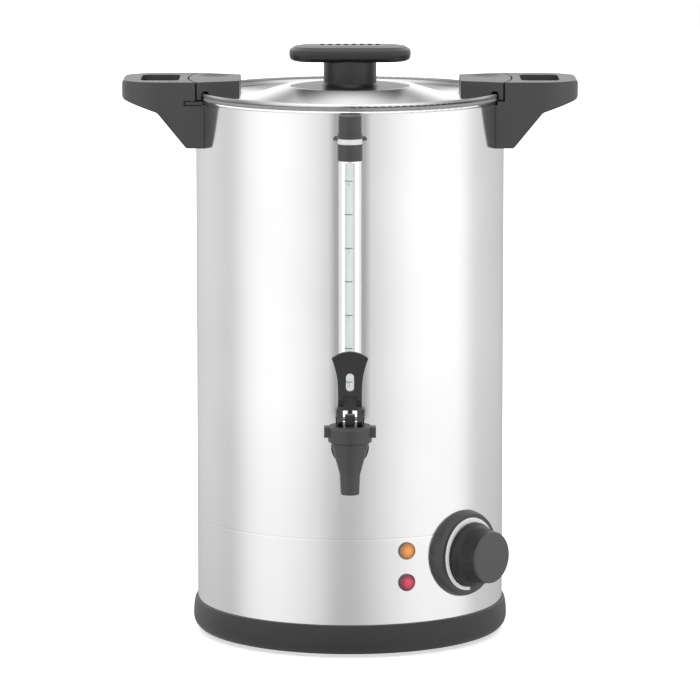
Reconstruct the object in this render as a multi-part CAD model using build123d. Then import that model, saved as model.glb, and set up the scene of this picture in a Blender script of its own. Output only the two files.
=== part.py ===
"""Hot water urn: double-walled steel body, lever tap, sight gauge, dial, lid.

Millimetres, +Z up. The body's axis is X = Y = 0, the table is z = 0 and the
tap faces -Y.
"""
import os
from math import asin, ceil, cos, floor, hypot, pi, radians, sin

from build123d import *

# ------------------------------------------------------------ driving sizes
SHEET = 0.8              # sheet steel of shell, tank, lid and guard
FIT = 0.1                # clearance of a piece in its seat
RUN = 0.3                # running gap round a piece that moves
FAR = 200.0              # length of a cutter that only has to reach through

# body
R_SHELL = 125.0          # outside of the outer shell
JACKET = 15.5            # from the shell's outside to the tank's inside
R_TANK = R_SHELL - JACKET
Z_FLOOR = 146.2          # tank floor, the zero of the gauge
Z_RIM = 438.3            # top of the tank's rim
RIM_STEP = 1.9           # rim above the shell's edge
BEAD = 1.2               # radius of the rim's rolled bead
Z_SEAM = 26.4            # top of the base ring
SHELL_TUCK = 6.4         # depth of the shell inside the base ring
SHELL_CREASE = 96.0      # height of the fine crease round the shell
CREASE_DEPTH = 0.05

# base
R_BASE = R_SHELL + 3.5
BASE_LIP = 2.0           # width of the ring's top edge
BASE_LIFT = 2.2          # ring's lower edge above the table
LEDGE = 3.4              # thickness of the ring's ledge under the shell
R_LEDGE = R_SHELL - 22.0
R_BASE_BORE = R_BASE - 10.5
SCREW_RING = R_BASE_BORE - 9.0   # radius of the ring of base screws
FOOT = 3.0               # height of the rubber foot ring
R_FOOT = SCREW_RING - 12.0       # its middle radius
FOOT_WIDTH = 10.0
R_FOOT_PLUG = 3.0
PLATE = 2.0              # thickness of the base plate
R_BOSS = 4.6
R_STUD = 3.0             # centre stud that clamps base, plate and tank

# lid, from the rim up
LID_VALLEY = 1.0
LID_PLATEAU = 9.2
LID_EDGE = 5.5
LID_CENTRE = 5.4
R_LID_CENTRE = 48.0      # step round the grip
R_LID_SHOULDER = 67.0    # middle of the slope from plateau to valley
KNOB_A, KNOB_B = 49.3, 24.0   # half length and half depth of the grip
KNOB_CORNER = 21.0            # rounding of its ends, seen from above
KNOB_PARTING = 34.7
KNOB_TOP = 42.2
KNOB_UNDER = 28.8
R_NECK = 21.4
KNOB_WALL = 4.1
VENTS, VENT_PITCH, VENT_LENGTH, VENT_WIDTH = 8, 6.4, 12.0, 3.0

# handles and ears
HALF_HANDLE = 44.0       # half width of handles and ears
HANDLE_TOP = 15.2        # above the rim
R_HANDLE = R_SHELL + 59.2
HANDLE_CORNER = 30.0     # rounding of its outer corners, seen from above
R_SEAM = R_SHELL + 5.4   # outer arc of the lid's ears
SEAM_GAP = 1.3           # between ears and handles
EAR_UNDER = 0.9          # ear's lower edge above the rim
SLOT_X0, SLOT_X1, SLOT_Y = R_SHELL + 13.0, R_SHELL + 44.0, 26.0
X_EAR = R_SHELL - 36.0   # inner end of an ear
HALF_EAR_END = 30.0      # half its width there
EAR_SCREW_X, EAR_SCREW_Y = X_EAR + 8.0, 24.0
DISH_X, DISH_Y = X_EAR + 21.0, 20.0      # middle of the thumb dish in an ear
DISH_HALF_X, DISH_HALF_Y, DISH_DEPTH = 14.0, 16.0, 2.6
HANDLE_SCREW_Y, HANDLE_SCREW_DROP = 26.0, 25.3

# tap
Z_SHANK = 172.0          # axis of the pipe through the walls
R_SHANK = 10.0
R_WATER = 6.0
Y_TAP = -R_SHELL - 45.0  # axis of the spout
SPOUT_DROP = 30.9        # spout's mouth below the shank
NOZZLE_DROP = 14.5       # top of the nozzle below the shank
BONNET_RISE = 24.0       # bonnet's top above the shank
PIN_RISE = 5.0           # lever's pin above the bonnet
R_PIN = 1.5
R_STEM = 2.5
R_BARREL = 13.5          # outside of the barrel under the bonnet
R_CHAMBER = 11.4
R_CHAMBER_FOOT = 9.0
HALF_FORK = 9.3          # half width of the lever
HALF_SLIT = 5.5          # half width between its fork arms
LIFT_PER_RAD = 4.77      # stem lift for each radian of the lever
LEVER_SWING = 60.0       # degrees
FLANGE_Y = -R_SHELL - 3.2     # face of the tap's flange

# sight gauge
Y_GAUGE = -R_SHELL - 12.0
R_GLASS = 5.0
GLASS_WALL = 1.3
R_GUARD = 9.0
HALF_SLOT = 4.3          # half width of the guard's front slot
BRACKET_DROP = 21.3      # middle of the upper bracket below the rim
BRACKET_SCREWS = 5.0     # its screws above and below the middle
SLOT_BOTTOM = 32.0       # front slot's lower end above the shank
SLOT_TOP = 17.4          # its upper end below the bracket's middle
LITRE = 1e6 / (pi * R_TANK ** 2)
MARK_MARGIN = 4.0        # nearest mark to an end of the slot
TICK_LEFT, TICK_RIGHT, TICK_HEIGHT = -4.0, 2.0, 0.6

# dial, by distance from the body's axis
DIAL_AZ, Z_DIAL = 47.0, 78.0
R_BADGE = 35.2                # the badge at the shell
R_FACE = 32.8                 # and at its flat face
W_FLOOR = R_SHELL + 6.6       # its flat face
W_KNOB = R_SHELL + 31.0       # knob's face
R_KNOB = 21.0
R_SKIRT = 26.0
RIBS, R_RIB = 56, 0.55
R_SHAFT = 3.0
DIAL_SCREW = 14.0             # half distance of the thermostat's screws
SCALE_OUT = 29.3
SCALE_MIN, SCALE_MAX = 2.6, 7.5
SCALE_FROM, SCALE_SWEEP = -90.0, 300.0

# lamps and supply socket
LAMP_AZ, Z_AMBER, Z_RED = 21.2, 85.6, 60.0
R_LAMP = 7.0
R_LAMP_HOLE = 6.05
Z_INLET = 56.0
INLET_OUT = 9.0               # socket's face outside the shell
INLET_SCREW = 20.0

# derived places
Z_SHELL_FOOT = Z_SEAM - SHELL_TUCK
Z_SHELL_TOP = Z_RIM - RIM_STEP
Z_TANK_UNDER = Z_FLOOR - SHEET
Z_LEDGE = Z_SHELL_FOOT - LEDGE
Z_PLATE = FOOT + PLATE
Z_VALLEY = Z_RIM + LID_VALLEY
Z_PLATEAU = Z_RIM + LID_PLATEAU
Z_HANDLE = Z_RIM + HANDLE_TOP
Z_PARTING = Z_RIM + KNOB_PARTING
Z_TOP = Z_RIM + KNOB_TOP
Z_HSCREW = Z_RIM - HANDLE_SCREW_DROP
Z_SPOUT = Z_SHANK - SPOUT_DROP
Z_BONNET = Z_SHANK + BONNET_RISE
Z_PIN = Z_BONNET + PIN_RISE
HEEL = PIN_RISE - FIT
Z_BRACKET = Z_RIM - BRACKET_DROP
R_GLASS_BORE = R_GLASS - GLASS_WALL
FIRST_MARK = ceil((Z_SHANK + SLOT_BOTTOM + MARK_MARGIN - Z_FLOOR) / LITRE)
LAST_MARK = floor((Z_BRACKET - SLOT_TOP - MARK_MARGIN - Z_FLOOR) / LITRE)
Y_INLET = R_SHELL + INLET_OUT

nodes = {}


# ---------------------------------------------------------------- helpers
def outline(points):
    """A closed flat outline through points (x, y) or (x, y, corner radius)."""
    n = len(points)
    corners = []
    for i, p in enumerate(points):
        r = p[2] if len(p) > 2 else 0
        if not r:
            corners.append(((p[0], p[1]),))
            continue
        a, b = points[i - 1], points[(i + 1) % n]
        ux, uy = a[0] - p[0], a[1] - p[1]
        vx, vy = b[0] - p[0], b[1] - p[1]
        lu, lv = hypot(ux, uy), hypot(vx, vy)
        ux, uy, vx, vy = ux / lu, uy / lu, vx / lv, vy / lv
        bx, by = ux + vx, uy + vy
        lb = hypot(bx, by)
        bx, by = bx / lb, by / lb
        cos_half = ux * bx + uy * by
        sin_half = (1 - cos_half ** 2) ** 0.5
        t, c = r * cos_half / sin_half, r / sin_half
        corners.append(((p[0] + ux * t, p[1] + uy * t),
                        (p[0] + bx * (c - r), p[1] + by * (c - r)),
                        (p[0] + vx * t, p[1] + vy * t)))
    edges = []
    for i, c in enumerate(corners):
        if len(c) == 3:
            edges.append(ThreePointArc(*c))
        start, end = c[-1], corners[(i + 1) % n][0]
        if hypot(end[0] - start[0], end[1] - start[1]) > 1e-6:
            edges.append(Line(start, end))
    return make_face(edges)


def spin(points, x=0.0, y=0.0, z=0.0):
    """Revolve an (r, height above z) outline about the vertical line through (x, y)."""
    return Pos(x, y, z) * revolve(Plane.XZ * outline(points), axis=Axis.Z)


def post(r, z0, z1, x=0.0, y=0.0):
    """An upright round bar from z0 to z1."""
    return Pos(x, y, (z0 + z1) / 2) * Cylinder(r, z1 - z0)


def pipe(r0, r1, z0, z1, x=0.0, y=0.0):
    """An upright tube, r0 inside and r1 outside."""
    return post(r1, z0, z1, x, y) - post(r0, z0 - 1, z1 + 1, x, y)


def ring_of_wire(ring, radius, z):
    """A level ring bent from round wire."""
    return revolve(Plane.XZ * (Pos(ring, z) * Circle(radius)), axis=Axis.Z)


def bar(p, q, r):
    """A round bar of radius r from p to q."""
    p, q = Vector(*p), Vector(*q)
    return extrude(Plane(origin=p, z_dir=q - p) * Circle(r), amount=(q - p).length)


def along_y(y0, y1, r, z, x=0.0):
    """A level round bar that points away from the tap."""
    return bar((x, y0, z), (x, y1, z), r)


def block(x0, x1, y0, y1, z0, z1):
    """A box between two corners, given in any order."""
    return (Pos((x0 + x1) / 2, (y0 + y1) / 2, (z0 + z1) / 2)
            * Box(abs(x1 - x0), abs(y1 - y0), abs(z1 - z0)))


def slab(points, plane, depth):
    """An outline drawn on a plane, pushed out by depth to each side."""
    return extrude(plane * outline(points), amount=depth, both=True)


def facing(azimuth, z):
    """The plane whose normal points out of the body at this azimuth and height.
    Its own x runs round the body to the right, its y is up, its z is radial."""
    a = radians(azimuth)
    return Plane(origin=(0, 0, z), x_dir=(cos(a), sin(a), 0), z_dir=(sin(a), -cos(a), 0))


def spin_on(plane, points):
    """Revolve an (r, w) outline about the plane's normal."""
    return plane * revolve(Plane.XZ * outline(points), axis=Axis.Z)


def group(shapes):
    """Several separate solids as one node."""
    solids = []
    for shape in shapes:
        solids += shape.solids()
    return Compound(solids)


def put(name, shape):
    """Add a shape to a node; a node named several times holds several solids."""
    nodes.setdefault(name, []).append(shape)


def ring_points(count, radius, first=0.0):
    """Points spread evenly round a circle, from the angle first in degrees."""
    turns = [radians(first + 360.0 * i / count) for i in range(count)]
    return [(radius * cos(a), radius * sin(a)) for a in turns]


def hexagon(flats, z0, z1, bore):
    """A hexagon nut, by its width across the flats."""
    nut = extrude(Plane.XY.offset(z0) * RegularPolygon(flats / 2, 6, major_radius=False), amount=z1 - z0)
    return nut - post(bore, z0 - 1, z1 + 1)


def radial(side, y, w0, w1, r, z):
    """A round bar along the body's radius, where the radius passes y on the shell."""
    a = asin(y / R_SHELL)
    dx, dy = side * cos(a), sin(a)
    return bar((w0 * dx, w0 * dy, z), (w1 * dx, w1 * dy, z), r)


def coil_spring(radius, wire_radius, z0, z1, turns, x, y):
    """A round-wire spring standing on z0 and reaching z1."""
    height = z1 - z0 - 2 * wire_radius
    path = Helix(height / turns, height, radius)
    coils = sweep(Plane(origin=path @ 0, z_dir=path % 0) * Circle(wire_radius), path=path, is_frenet=True)
    return Pos(x, y, z0 + wire_radius) * coils


def wire(radius, bend, *points):
    """A round wire along straight runs joined by arcs of one bend radius."""
    path = FilletPolyline(*points, radius=bend)
    return sweep(Plane(origin=path @ 0, z_dir=path % 0) * Circle(radius), path=path)


def at_dial(u, v, w):
    """A point given in the dial's own directions."""
    t = radians(DIAL_AZ)
    return (w * sin(t) + u * cos(t), -w * cos(t) + u * sin(t), Z_DIAL + v)


shell_inside = post(R_SHELL - SHEET, 0, Z_TOP)
shell_outside = post(R_SHELL, 0, Z_TOP)

# ------------------------------------------------------------------- base
base_screws = ring_points(4, SCREW_RING, 45)
foot_plugs = ring_points(4, R_FOOT, 22.5)
R_THREAD = 1.7

skirt = make_face([
    Spline((R_BASE - 7.6, BASE_LIFT), (R_BASE - 2.7, 0.2 * Z_SEAM), (R_BASE - 0.4, 0.36 * Z_SEAM),
           (R_BASE, 0.57 * Z_SEAM), (R_BASE - 0.4, 0.8 * Z_SEAM), (R_SHELL + BASE_LIP, Z_SEAM)),
    Polyline((R_SHELL + BASE_LIP, Z_SEAM), (R_SHELL + FIT, Z_SEAM), (R_SHELL + FIT, Z_SHELL_FOOT),
             (R_LEDGE, Z_SHELL_FOOT), (R_LEDGE, Z_LEDGE), (R_BASE - 5.9, Z_LEDGE), (R_BASE - 5.9, FOOT + 5.0),
             (R_BASE_BORE + 1.4, FOOT + 1.8), (R_BASE_BORE, FOOT + 1.8), (R_BASE_BORE, BASE_LIFT),
             (R_BASE - 7.6, BASE_LIFT)),
])
base_ring = revolve(Plane.XZ * skirt, axis=Axis.Z)
for x, y in base_screws:
    base_ring += post(R_BOSS, Z_PLATE, Z_LEDGE + 0.4, x, y)
for x, y in base_screws:
    base_ring -= post(R_THREAD, Z_PLATE - 1, Z_PLATE + 10, x, y)
put("base_ring", base_ring)

RESET_X, RESET_Y = -45.0, 30.0
R_RESET = 4.0
CUP, R_CUP = 6.0, 16.0   # raised middle of the base plate
VENT_SLOTS = 8
base_plate = spin([(R_STUD + 0.2, CUP), (R_CUP - PLATE, CUP), (R_CUP - PLATE, 0), (R_BASE_BORE - RUN, 0),
                   (R_BASE_BORE - RUN, PLATE), (R_CUP, PLATE), (R_CUP, CUP + PLATE),
                   (R_STUD + 0.2, CUP + PLATE)], z=FOOT)
for x, y in base_screws:
    base_plate -= post(R_THREAD + 0.4, FOOT - 1, Z_PLATE + 1, x, y)
for x, y in foot_plugs:
    base_plate -= post(R_FOOT_PLUG, FOOT - 1, Z_PLATE + 1, x, y)
for i in range(VENT_SLOTS):
    slot = block(R_FOOT - 35, R_FOOT - 15, -1.6, 1.6, FOOT - 1, Z_PLATE + 1)
    base_plate -= Rot(0, 0, (i + 0.5) * 360 / VENT_SLOTS) * slot
base_plate -= post(R_RESET + FIT, FOOT - 1, Z_PLATE + 1, RESET_X, RESET_Y)
put("base_plate", base_plate)

foot_ring = spin([(R_FOOT - FOOT_WIDTH / 2, 0, 0.8), (R_FOOT + FOOT_WIDTH / 2, 0, 0.8),
                  (R_FOOT + FOOT_WIDTH / 2, FOOT), (R_FOOT - FOOT_WIDTH / 2, FOOT)])
for x, y in foot_plugs:
    foot_ring += post(R_FOOT_PLUG, FOOT - 0.5, Z_PLATE, x, y)
    foot_ring += post(R_FOOT_PLUG + 0.9, Z_PLATE, Z_PLATE + 2, x, y)
put("foot_ring", foot_ring)

put("case_screws", group(
    post(3.6, FOOT - 2, FOOT, x, y) + post(R_THREAD - 0.05, FOOT, Z_PLATE + 9, x, y)
    - post(1.5, FOOT - 2.5, FOOT - 1, x, y) for x, y in base_screws))

Z_CUP = FOOT + CUP       # underside of the base plate's raised middle
Z_ELEMENT_PLATE = Z_TANK_UNDER - 7.4
put("centre_stud", post(R_STUD, FOOT - 0.6, Z_TANK_UNDER))
put("stud_nuts", hexagon(10, Z_CUP - 5.1, Z_CUP - 0.6, R_STUD + 0.05))
put("stud_nuts", pipe(R_STUD + 0.2, 8.0, Z_CUP - 0.6, Z_CUP))
put("stud_nuts", hexagon(10, Z_ELEMENT_PLATE - 4.8, Z_ELEMENT_PLATE, R_STUD + 0.05))

# ------------------------------------------------------------ outer shell
dial = facing(DIAL_AZ, Z_DIAL)
handle_screws = [(side, y) for side in (-1, 1) for y in (-HANDLE_SCREW_Y, HANDLE_SCREW_Y)]
R_HSCREW = 1.75
bracket_heights = (Z_BRACKET - BRACKET_SCREWS - 1, Z_BRACKET + BRACKET_SCREWS - 1)
R_BSCREW = 1.2
R_ISCREW = 1.5
HALF_INLET_X, HALF_INLET_Z = 14.5, 9.5    # socket body behind the shell
THROUGH = (R_SHELL - 15, R_SHELL + 15)

shell = pipe(R_SHELL - SHEET, R_SHELL, Z_SHELL_FOOT, Z_SHELL_TOP)
shell -= spin([(R_SHELL - CREASE_DEPTH, 0), (R_SHELL + CREASE_DEPTH, -1.6), (R_SHELL + CREASE_DEPTH, 1.6)],
              z=SHELL_CREASE)
shell -= along_y(-THROUGH[0], -THROUGH[1], R_SHANK + RUN, Z_SHANK)
for z in (Z_AMBER, Z_RED):
    shell -= facing(LAMP_AZ, z) * post(R_LAMP_HOLE, *THROUGH)
shell -= dial * post(5.3, *THROUGH)
for u in (-DIAL_SCREW, DIAL_SCREW):
    shell -= dial * post(2.0, *THROUGH, u, 0)
shell -= block(-HALF_INLET_X - RUN, HALF_INLET_X + RUN, *THROUGH, Z_INLET - HALF_INLET_Z - RUN,
               Z_INLET + HALF_INLET_Z + RUN)
for x in (-INLET_SCREW, INLET_SCREW):
    shell -= along_y(*THROUGH, R_ISCREW + FIT, Z_INLET, x)
for side, y in handle_screws:
    shell -= radial(side, y, *THROUGH, R_HSCREW + 0.15, Z_HSCREW)
for z in bracket_heights:
    shell -= along_y(-THROUGH[0], -THROUGH[1], R_BSCREW + 0.4, z)
put("outer_shell", shell)

# ------------------------------------------------------------------- tank
R_RIM = R_SHELL - FIT
tank = spin([(R_TANK, Z_FLOOR), (R_TANK + SHEET, Z_FLOOR), (R_TANK + SHEET, Z_RIM - SHEET, 0.8),
             (R_RIM, Z_RIM - SHEET), (R_RIM, Z_RIM), (R_TANK, Z_RIM, 1.6)])
tank += ring_of_wire(R_SHELL - 0.4, BEAD, Z_RIM - BEAD)
tank -= pipe(R_SHELL - SHEET, R_SHELL, Z_TANK_UNDER, Z_SHELL_TOP)
tank -= along_y(-R_TANK + 9.5, -R_TANK - 10.5, R_SHANK + RUN, Z_SHANK)
put("inner_tank", tank)
put("tank_floor", post(R_TANK + SHEET + 1.4, Z_TANK_UNDER, Z_FLOOR))

# ------------------------------------------- heating plate and its element
R_COIL, R_ELEMENT = 58.0, 4.0
COIL_GAP = 24.0          # degrees of the ring left open
R_ELEMENT_PLATE = 78.0
Z_TAIL = Z_ELEMENT_PLATE - 16
coil = Rot(0, 0, 90 + COIL_GAP / 2) * revolve(
    Plane.XZ * (Pos(R_COIL, Z_ELEMENT_PLATE) * Circle(R_ELEMENT)), axis=Axis.Z, revolution_arc=360 - COIL_GAP)
tails = [(R_COIL * cos(radians(a)), R_COIL * sin(radians(a))) for a in (90 - COIL_GAP / 2, 90 + COIL_GAP / 2)]
for x, y in tails:
    coil += Pos(x, y, Z_ELEMENT_PLATE) * Sphere(R_ELEMENT)
    coil += post(R_ELEMENT, Z_TAIL, Z_ELEMENT_PLATE, x, y)
element_plate = post(R_ELEMENT_PLATE, Z_ELEMENT_PLATE, Z_TANK_UNDER)
element_plate -= post(R_STUD + 0.2, Z_ELEMENT_PLATE - 1, Z_TANK_UNDER + 1)
element_plate -= ring_of_wire(R_COIL, R_ELEMENT, Z_ELEMENT_PLATE)
put("element_plate", element_plate)
put("heating_element", coil)
Z_TERMINAL = Z_TAIL - 14
put("brass_terminals", group(post(1.6, Z_TERMINAL, Z_TAIL, x, y) for x, y in tails))

# bulb of the thermostat, held under the plate by two saddles
BULB_X, R_BULB, HALF_BULB = 28.0, 3.1, 30.0
BULB_Z = Z_ELEMENT_PLATE - R_BULB
put("sensing_bulb", along_y(-HALF_BULB, HALF_BULB, R_BULB, BULB_Z, BULB_X))
for y in (-18, 18):
    saddle = block(BULB_X - 8, BULB_X + 8, y - 4, y + 4, BULB_Z - 4.3, Z_ELEMENT_PLATE)
    saddle -= block(BULB_X - R_BULB, BULB_X + R_BULB, y - 5, y + 5, BULB_Z, Z_ELEMENT_PLATE + 1)
    saddle -= along_y(y - 5, y + 5, R_BULB + 0.05, BULB_Z, BULB_X)
    put("sensing_bulb", saddle)

# ------------------------------------------------------ thermostat and dial
W_BODY = R_SHELL - 9     # outer face of the thermostat's box
R_BUSH = 5.0
R_DSCREW = 1.7
thermostat = block(-17, 17, -20, 20, W_BODY - 24, W_BODY) + post(R_BUSH, W_BODY - 1, W_FLOOR - 0.2)
put("thermostat_body", dial * (thermostat - post(R_SHAFT + 0.06, W_BODY - 19, W_FLOOR + 2)))
bracket = block(-21, 21, -8, 8, W_BODY, W_BODY + PLATE) - post(R_BUSH + FIT, W_BODY - 1, W_BODY + PLATE + 1)
for u in (-DIAL_SCREW, DIAL_SCREW):
    bracket += post(3.6, W_BODY + 1.5, W_BODY + 8.5, u, 0)
bracket = (dial * bracket) & shell_inside
for u in (-DIAL_SCREW, DIAL_SCREW):
    bracket -= dial * post(R_DSCREW + 0.05, W_BODY - 1, W_BODY + 10, u, 0)
put("inner_brackets", bracket)
TAB_U, TAB_V = 9.0, -10.0
put("brass_terminals", group(
    dial * block(u - 3.1, u + 3.1, TAB_V - 0.4, TAB_V + 0.4, W_BODY - 32, W_BODY - 24) for u in (-TAB_U, TAB_U)))
W_SHAFT = W_KNOB - 9     # outer end of the shaft, with a flat on one side
FLAT = 1.9
put("thermostat_shaft", dial * (post(R_SHAFT, W_BODY - 18, W_SHAFT)
                                - block(FLAT, 4, -4, 4, W_SHAFT - 13, W_SHAFT + 1)))

badge = spin_on(dial, [(6.0, R_SHELL - 13), (R_BADGE, R_SHELL - 13), (R_BADGE, R_SHELL - 0.8),
                       (R_BADGE - 0.9, W_FLOOR - 3.0, 4.0), (R_FACE, W_FLOOR, 1.2), (6.0, W_FLOOR)])
badge -= shell_outside
for u in (-DIAL_SCREW, DIAL_SCREW):
    badge -= dial * post(R_DSCREW + 0.6, *THROUGH, u, 0)
put("dial_plate", badge)
put("case_screws", group(
    dial * (post(3.8, W_FLOOR, W_FLOOR + 1.3, u, 0) + post(R_DSCREW, W_BODY + 1, W_FLOOR, u, 0)
            - block(u - 0.5, u + 0.5, -5, 5, W_FLOOR + 0.7, W_FLOOR + 3)) for u in (-DIAL_SCREW, DIAL_SCREW)))

# the scale is a crescent that grows wider clockwise, as the heat does
steps = 8
swept = [radians(SCALE_FROM - SCALE_SWEEP * i / steps) for i in range(steps + 1)]
outer = [(SCALE_OUT * cos(a), SCALE_OUT * sin(a)) for a in swept]
inner_radii = [SCALE_OUT - SCALE_MIN - (SCALE_MAX - SCALE_MIN) * i / steps for i in range(steps + 1)]
inner = [(r * cos(a), r * sin(a)) for r, a in zip(inner_radii, swept)]
crescent = make_face([ThreePointArc(outer[0], outer[steps // 2], outer[-1]), Line(outer[-1], inner[-1]),
                      Spline(*inner[::-1]), Line(inner[0], outer[0])])
put("dial_scale", dial * (Pos(0, 0, W_FLOOR) * extrude(crescent, amount=0.35)))

knob = spin_on(dial, [
    (R_SHAFT, W_FLOOR + 3), (5.6, W_FLOOR + 3), (5.6, W_SHAFT + 3), (R_KNOB - 3.4, W_SHAFT + 3, 2),
    (R_KNOB - 2.4, W_FLOOR + 8.4), (R_SKIRT - 2.4, W_FLOOR + 5.0), (R_SKIRT - 2.4, W_FLOOR + 1.6),
    (R_SKIRT, W_FLOOR + 1.6, 0.6), (R_SKIRT, W_FLOOR + 5.4, 1.2), (R_KNOB + 1.9, W_FLOOR + 8.4, 1.0),
    (R_KNOB, W_KNOB, 2.6), (0, W_KNOB), (0, W_SHAFT), (R_SHAFT, W_SHAFT)])
grooves = []
for (x0, y0), (x1, y1) in zip(ring_points(RIBS, R_KNOB + 1.75), ring_points(RIBS, R_KNOB + 0.65)):
    grooves.append(dial * bar((x0, y0, W_KNOB - 15.5), (x1, y1, W_KNOB - 5.0), R_RIB))
put("thermostat_knob", knob - grooves)

# ------------------------------------------------------------------ lamps
W_LAMP = R_SHELL - 1.5   # back of the lens's flange
R_TUBE = 4.8             # bore of the lamp's body
for name, z in (("amber", Z_AMBER), ("red", Z_RED)):
    lamp = facing(LAMP_AZ, z)
    lens = spin_on(lamp, [(0, W_LAMP - 4.5), (R_TUBE, W_LAMP - 4.5), (R_TUBE, W_LAMP), (R_LAMP, W_LAMP),
                          (R_LAMP, W_LAMP + 2.9, 0.5), (R_LAMP - 0.8, W_LAMP + 3.5),
                          (R_LAMP - 1.6, W_LAMP + 4.4, 2.0), (R_LAMP - 4.5, W_LAMP + 5.2, 4.0), (0, W_LAMP + 5.3)])
    lens -= shell_outside - lamp * post(R_TUBE, W_LAMP - 5.5, W_LAMP + 2.5)
    put("lens_" + name, lens)
    put("lamp_bodies", lamp * (post(R_LAMP_HOLE - 0.05, R_SHELL - 29, R_SHELL - 1)
                               - post(R_TUBE, R_SHELL - 19, R_SHELL + 5)))
    put("lamp_bodies", lamp * pipe(R_LAMP_HOLE, 9.0, R_SHELL - 5.4, R_SHELL - 1.2))
    put("brass_terminals", group(
        lamp * block(-2.2, 2.2, v - 0.4, v + 0.4, R_SHELL - 37, R_SHELL - 29) for v in (-3, 3)))

# ------------------------------------------------- supply socket at the back
inlet = Plane(origin=(0, Y_INLET, Z_INLET), x_dir=(-1, 0, 0), z_dir=(0, 1, 0))
SOCKET_DEPTH = 24.0
housing = extrude(inlet * outline([(-26, -15, 4), (26, -15, 4), (26, 15, 4), (-26, 15, 4)]), amount=-22)
housing -= shell_outside
housing += block(-HALF_INLET_X, HALF_INLET_X, Y_INLET - 30, Y_INLET - 6,
                 Z_INLET - HALF_INLET_Z, Z_INLET + HALF_INLET_Z)
socket = outline([(-12.2, -8.2), (12.2, -8.2), (12.2, 4.6), (8.6, 8.2), (-8.6, 8.2), (-12.2, 4.6)])
housing -= extrude(inlet * Pos(0, 0, 1) * socket, amount=-SOCKET_DEPTH + 1)
for x in (-INLET_SCREW, INLET_SCREW):
    housing -= along_y(Y_INLET - SOCKET_DEPTH, Y_INLET + 6, R_ISCREW + FIT, Z_INLET, x)
PINS = ((-7.0, -2.0), (7.0, -2.0), (0.0, 2.6))
PIN_X, PIN_Z = 1.0, 2.0
for x, z in PINS:
    housing -= block(x - PIN_X - 0.05, x + PIN_X + 0.05, Y_INLET - 34, Y_INLET - 19,
                     Z_INLET + z - PIN_Z - 0.05, Z_INLET + z + PIN_Z + 0.05)
put("inlet_housing", housing)
Y_PIN_END = Y_INLET - 38
put("inlet_pins", group(
    block(x - PIN_X, x + PIN_X, Y_PIN_END, Y_INLET - 6, Z_INLET + z - PIN_Z, Z_INLET + z + PIN_Z) for x, z in PINS))
put("case_screws", group(
    along_y(Y_INLET, Y_INLET + 1.6, 3.0, Z_INLET, x) + along_y(Y_INLET - 18, Y_INLET, R_ISCREW, Z_INLET, x)
    - block(x - 2.4, x + 2.4, Y_INLET + 1, Y_INLET + 3, Z_INLET - 0.4, Z_INLET + 0.4)
    for x in (-INLET_SCREW, INLET_SCREW)))
Y_INLET_NUT = (R_SHELL ** 2 - INLET_SCREW ** 2) ** 0.5 - 1.5
put("case_screws", group(
    Plane(origin=(x, Y_INLET_NUT, Z_INLET), z_dir=(0, -1, 0)) * hexagon(5.5, 0, 2.4, R_ISCREW + 0.05)
    for x in (-INLET_SCREW, INLET_SCREW)))

# ------------------------------------- terminal block, cut-out and earth stud
BLOCK_X, BLOCK_Y, BLOCK_WIDTH, BLOCK_DEPTH, BLOCK_HEIGHT = 18.0, 44.0, 44.0, 18.0, 15.0
POLE_PITCH = 14.0
poles = [BLOCK_X + 8 + POLE_PITCH * i for i in range(3)]
Z_ENTRY = Z_PLATE + 4.5
ENTRY_DEPTH = 7.5
R_ENTRY = 2.0
R_TSCREW = 2.5
terminal_block = block(BLOCK_X, BLOCK_X + BLOCK_WIDTH, BLOCK_Y, BLOCK_Y + BLOCK_DEPTH, Z_PLATE,
                       Z_PLATE + BLOCK_HEIGHT)
for x in poles:
    for y in (BLOCK_Y + 4.5, BLOCK_Y + BLOCK_DEPTH - 4.5):
        terminal_block -= post(R_TSCREW + FIT, Z_PLATE + 7, Z_PLATE + BLOCK_HEIGHT + 1, x, y)
        put("brass_terminals", post(R_TSCREW, Z_PLATE + 7, Z_PLATE + 13, x, y)
            - block(x - 3, x + 3, y - 0.4, y + 0.4, Z_PLATE + 12.2, Z_PLATE + 14))
    terminal_block -= along_y(BLOCK_Y + BLOCK_DEPTH + 0.5, BLOCK_Y + BLOCK_DEPTH - ENTRY_DEPTH, R_ENTRY, Z_ENTRY, x)
    terminal_block -= along_y(BLOCK_Y - 0.5, BLOCK_Y + ENTRY_DEPTH, R_ENTRY, Z_ENTRY, x)
put("terminal_block", terminal_block)

CUTOUT_HEIGHT = 23.0
RESET_TRAVEL = 2.0
R_COLLAR = 6.0           # collar that traps the reset button above the plate
Z_COLLAR = Z_PLATE + 1.8
cutout = block(RESET_X - 15, RESET_X + 15, RESET_Y - 12, RESET_Y + 12, Z_PLATE, Z_PLATE + CUTOUT_HEIGHT)
cutout -= post(R_COLLAR + 0.4, Z_PLATE - 1, Z_PLATE + 19, RESET_X, RESET_Y)
put("cutout_body", cutout)
put("brass_terminals", group(
    block(RESET_X + d - 3.1, RESET_X + d + 3.1, RESET_Y - 0.4, RESET_Y + 0.4,
          Z_PLATE + CUTOUT_HEIGHT, Z_PLATE + CUTOUT_HEIGHT + 8) for d in (-8, 8)))
put("reset_button", post(R_RESET, FOOT - 1.4, Z_PLATE + 0.1, RESET_X, RESET_Y)
    + post(R_COLLAR, Z_PLATE + 0.05, Z_COLLAR, RESET_X, RESET_Y)
    + post(2.0, Z_COLLAR - 0.3, Z_COLLAR + 5.2, RESET_X, RESET_Y))
put("reset_spring", coil_spring(3.6, 0.4, Z_COLLAR, Z_PLATE + 19, 6, RESET_X, RESET_Y))
Y_EARTH = R_SHELL - 45.0
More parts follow.
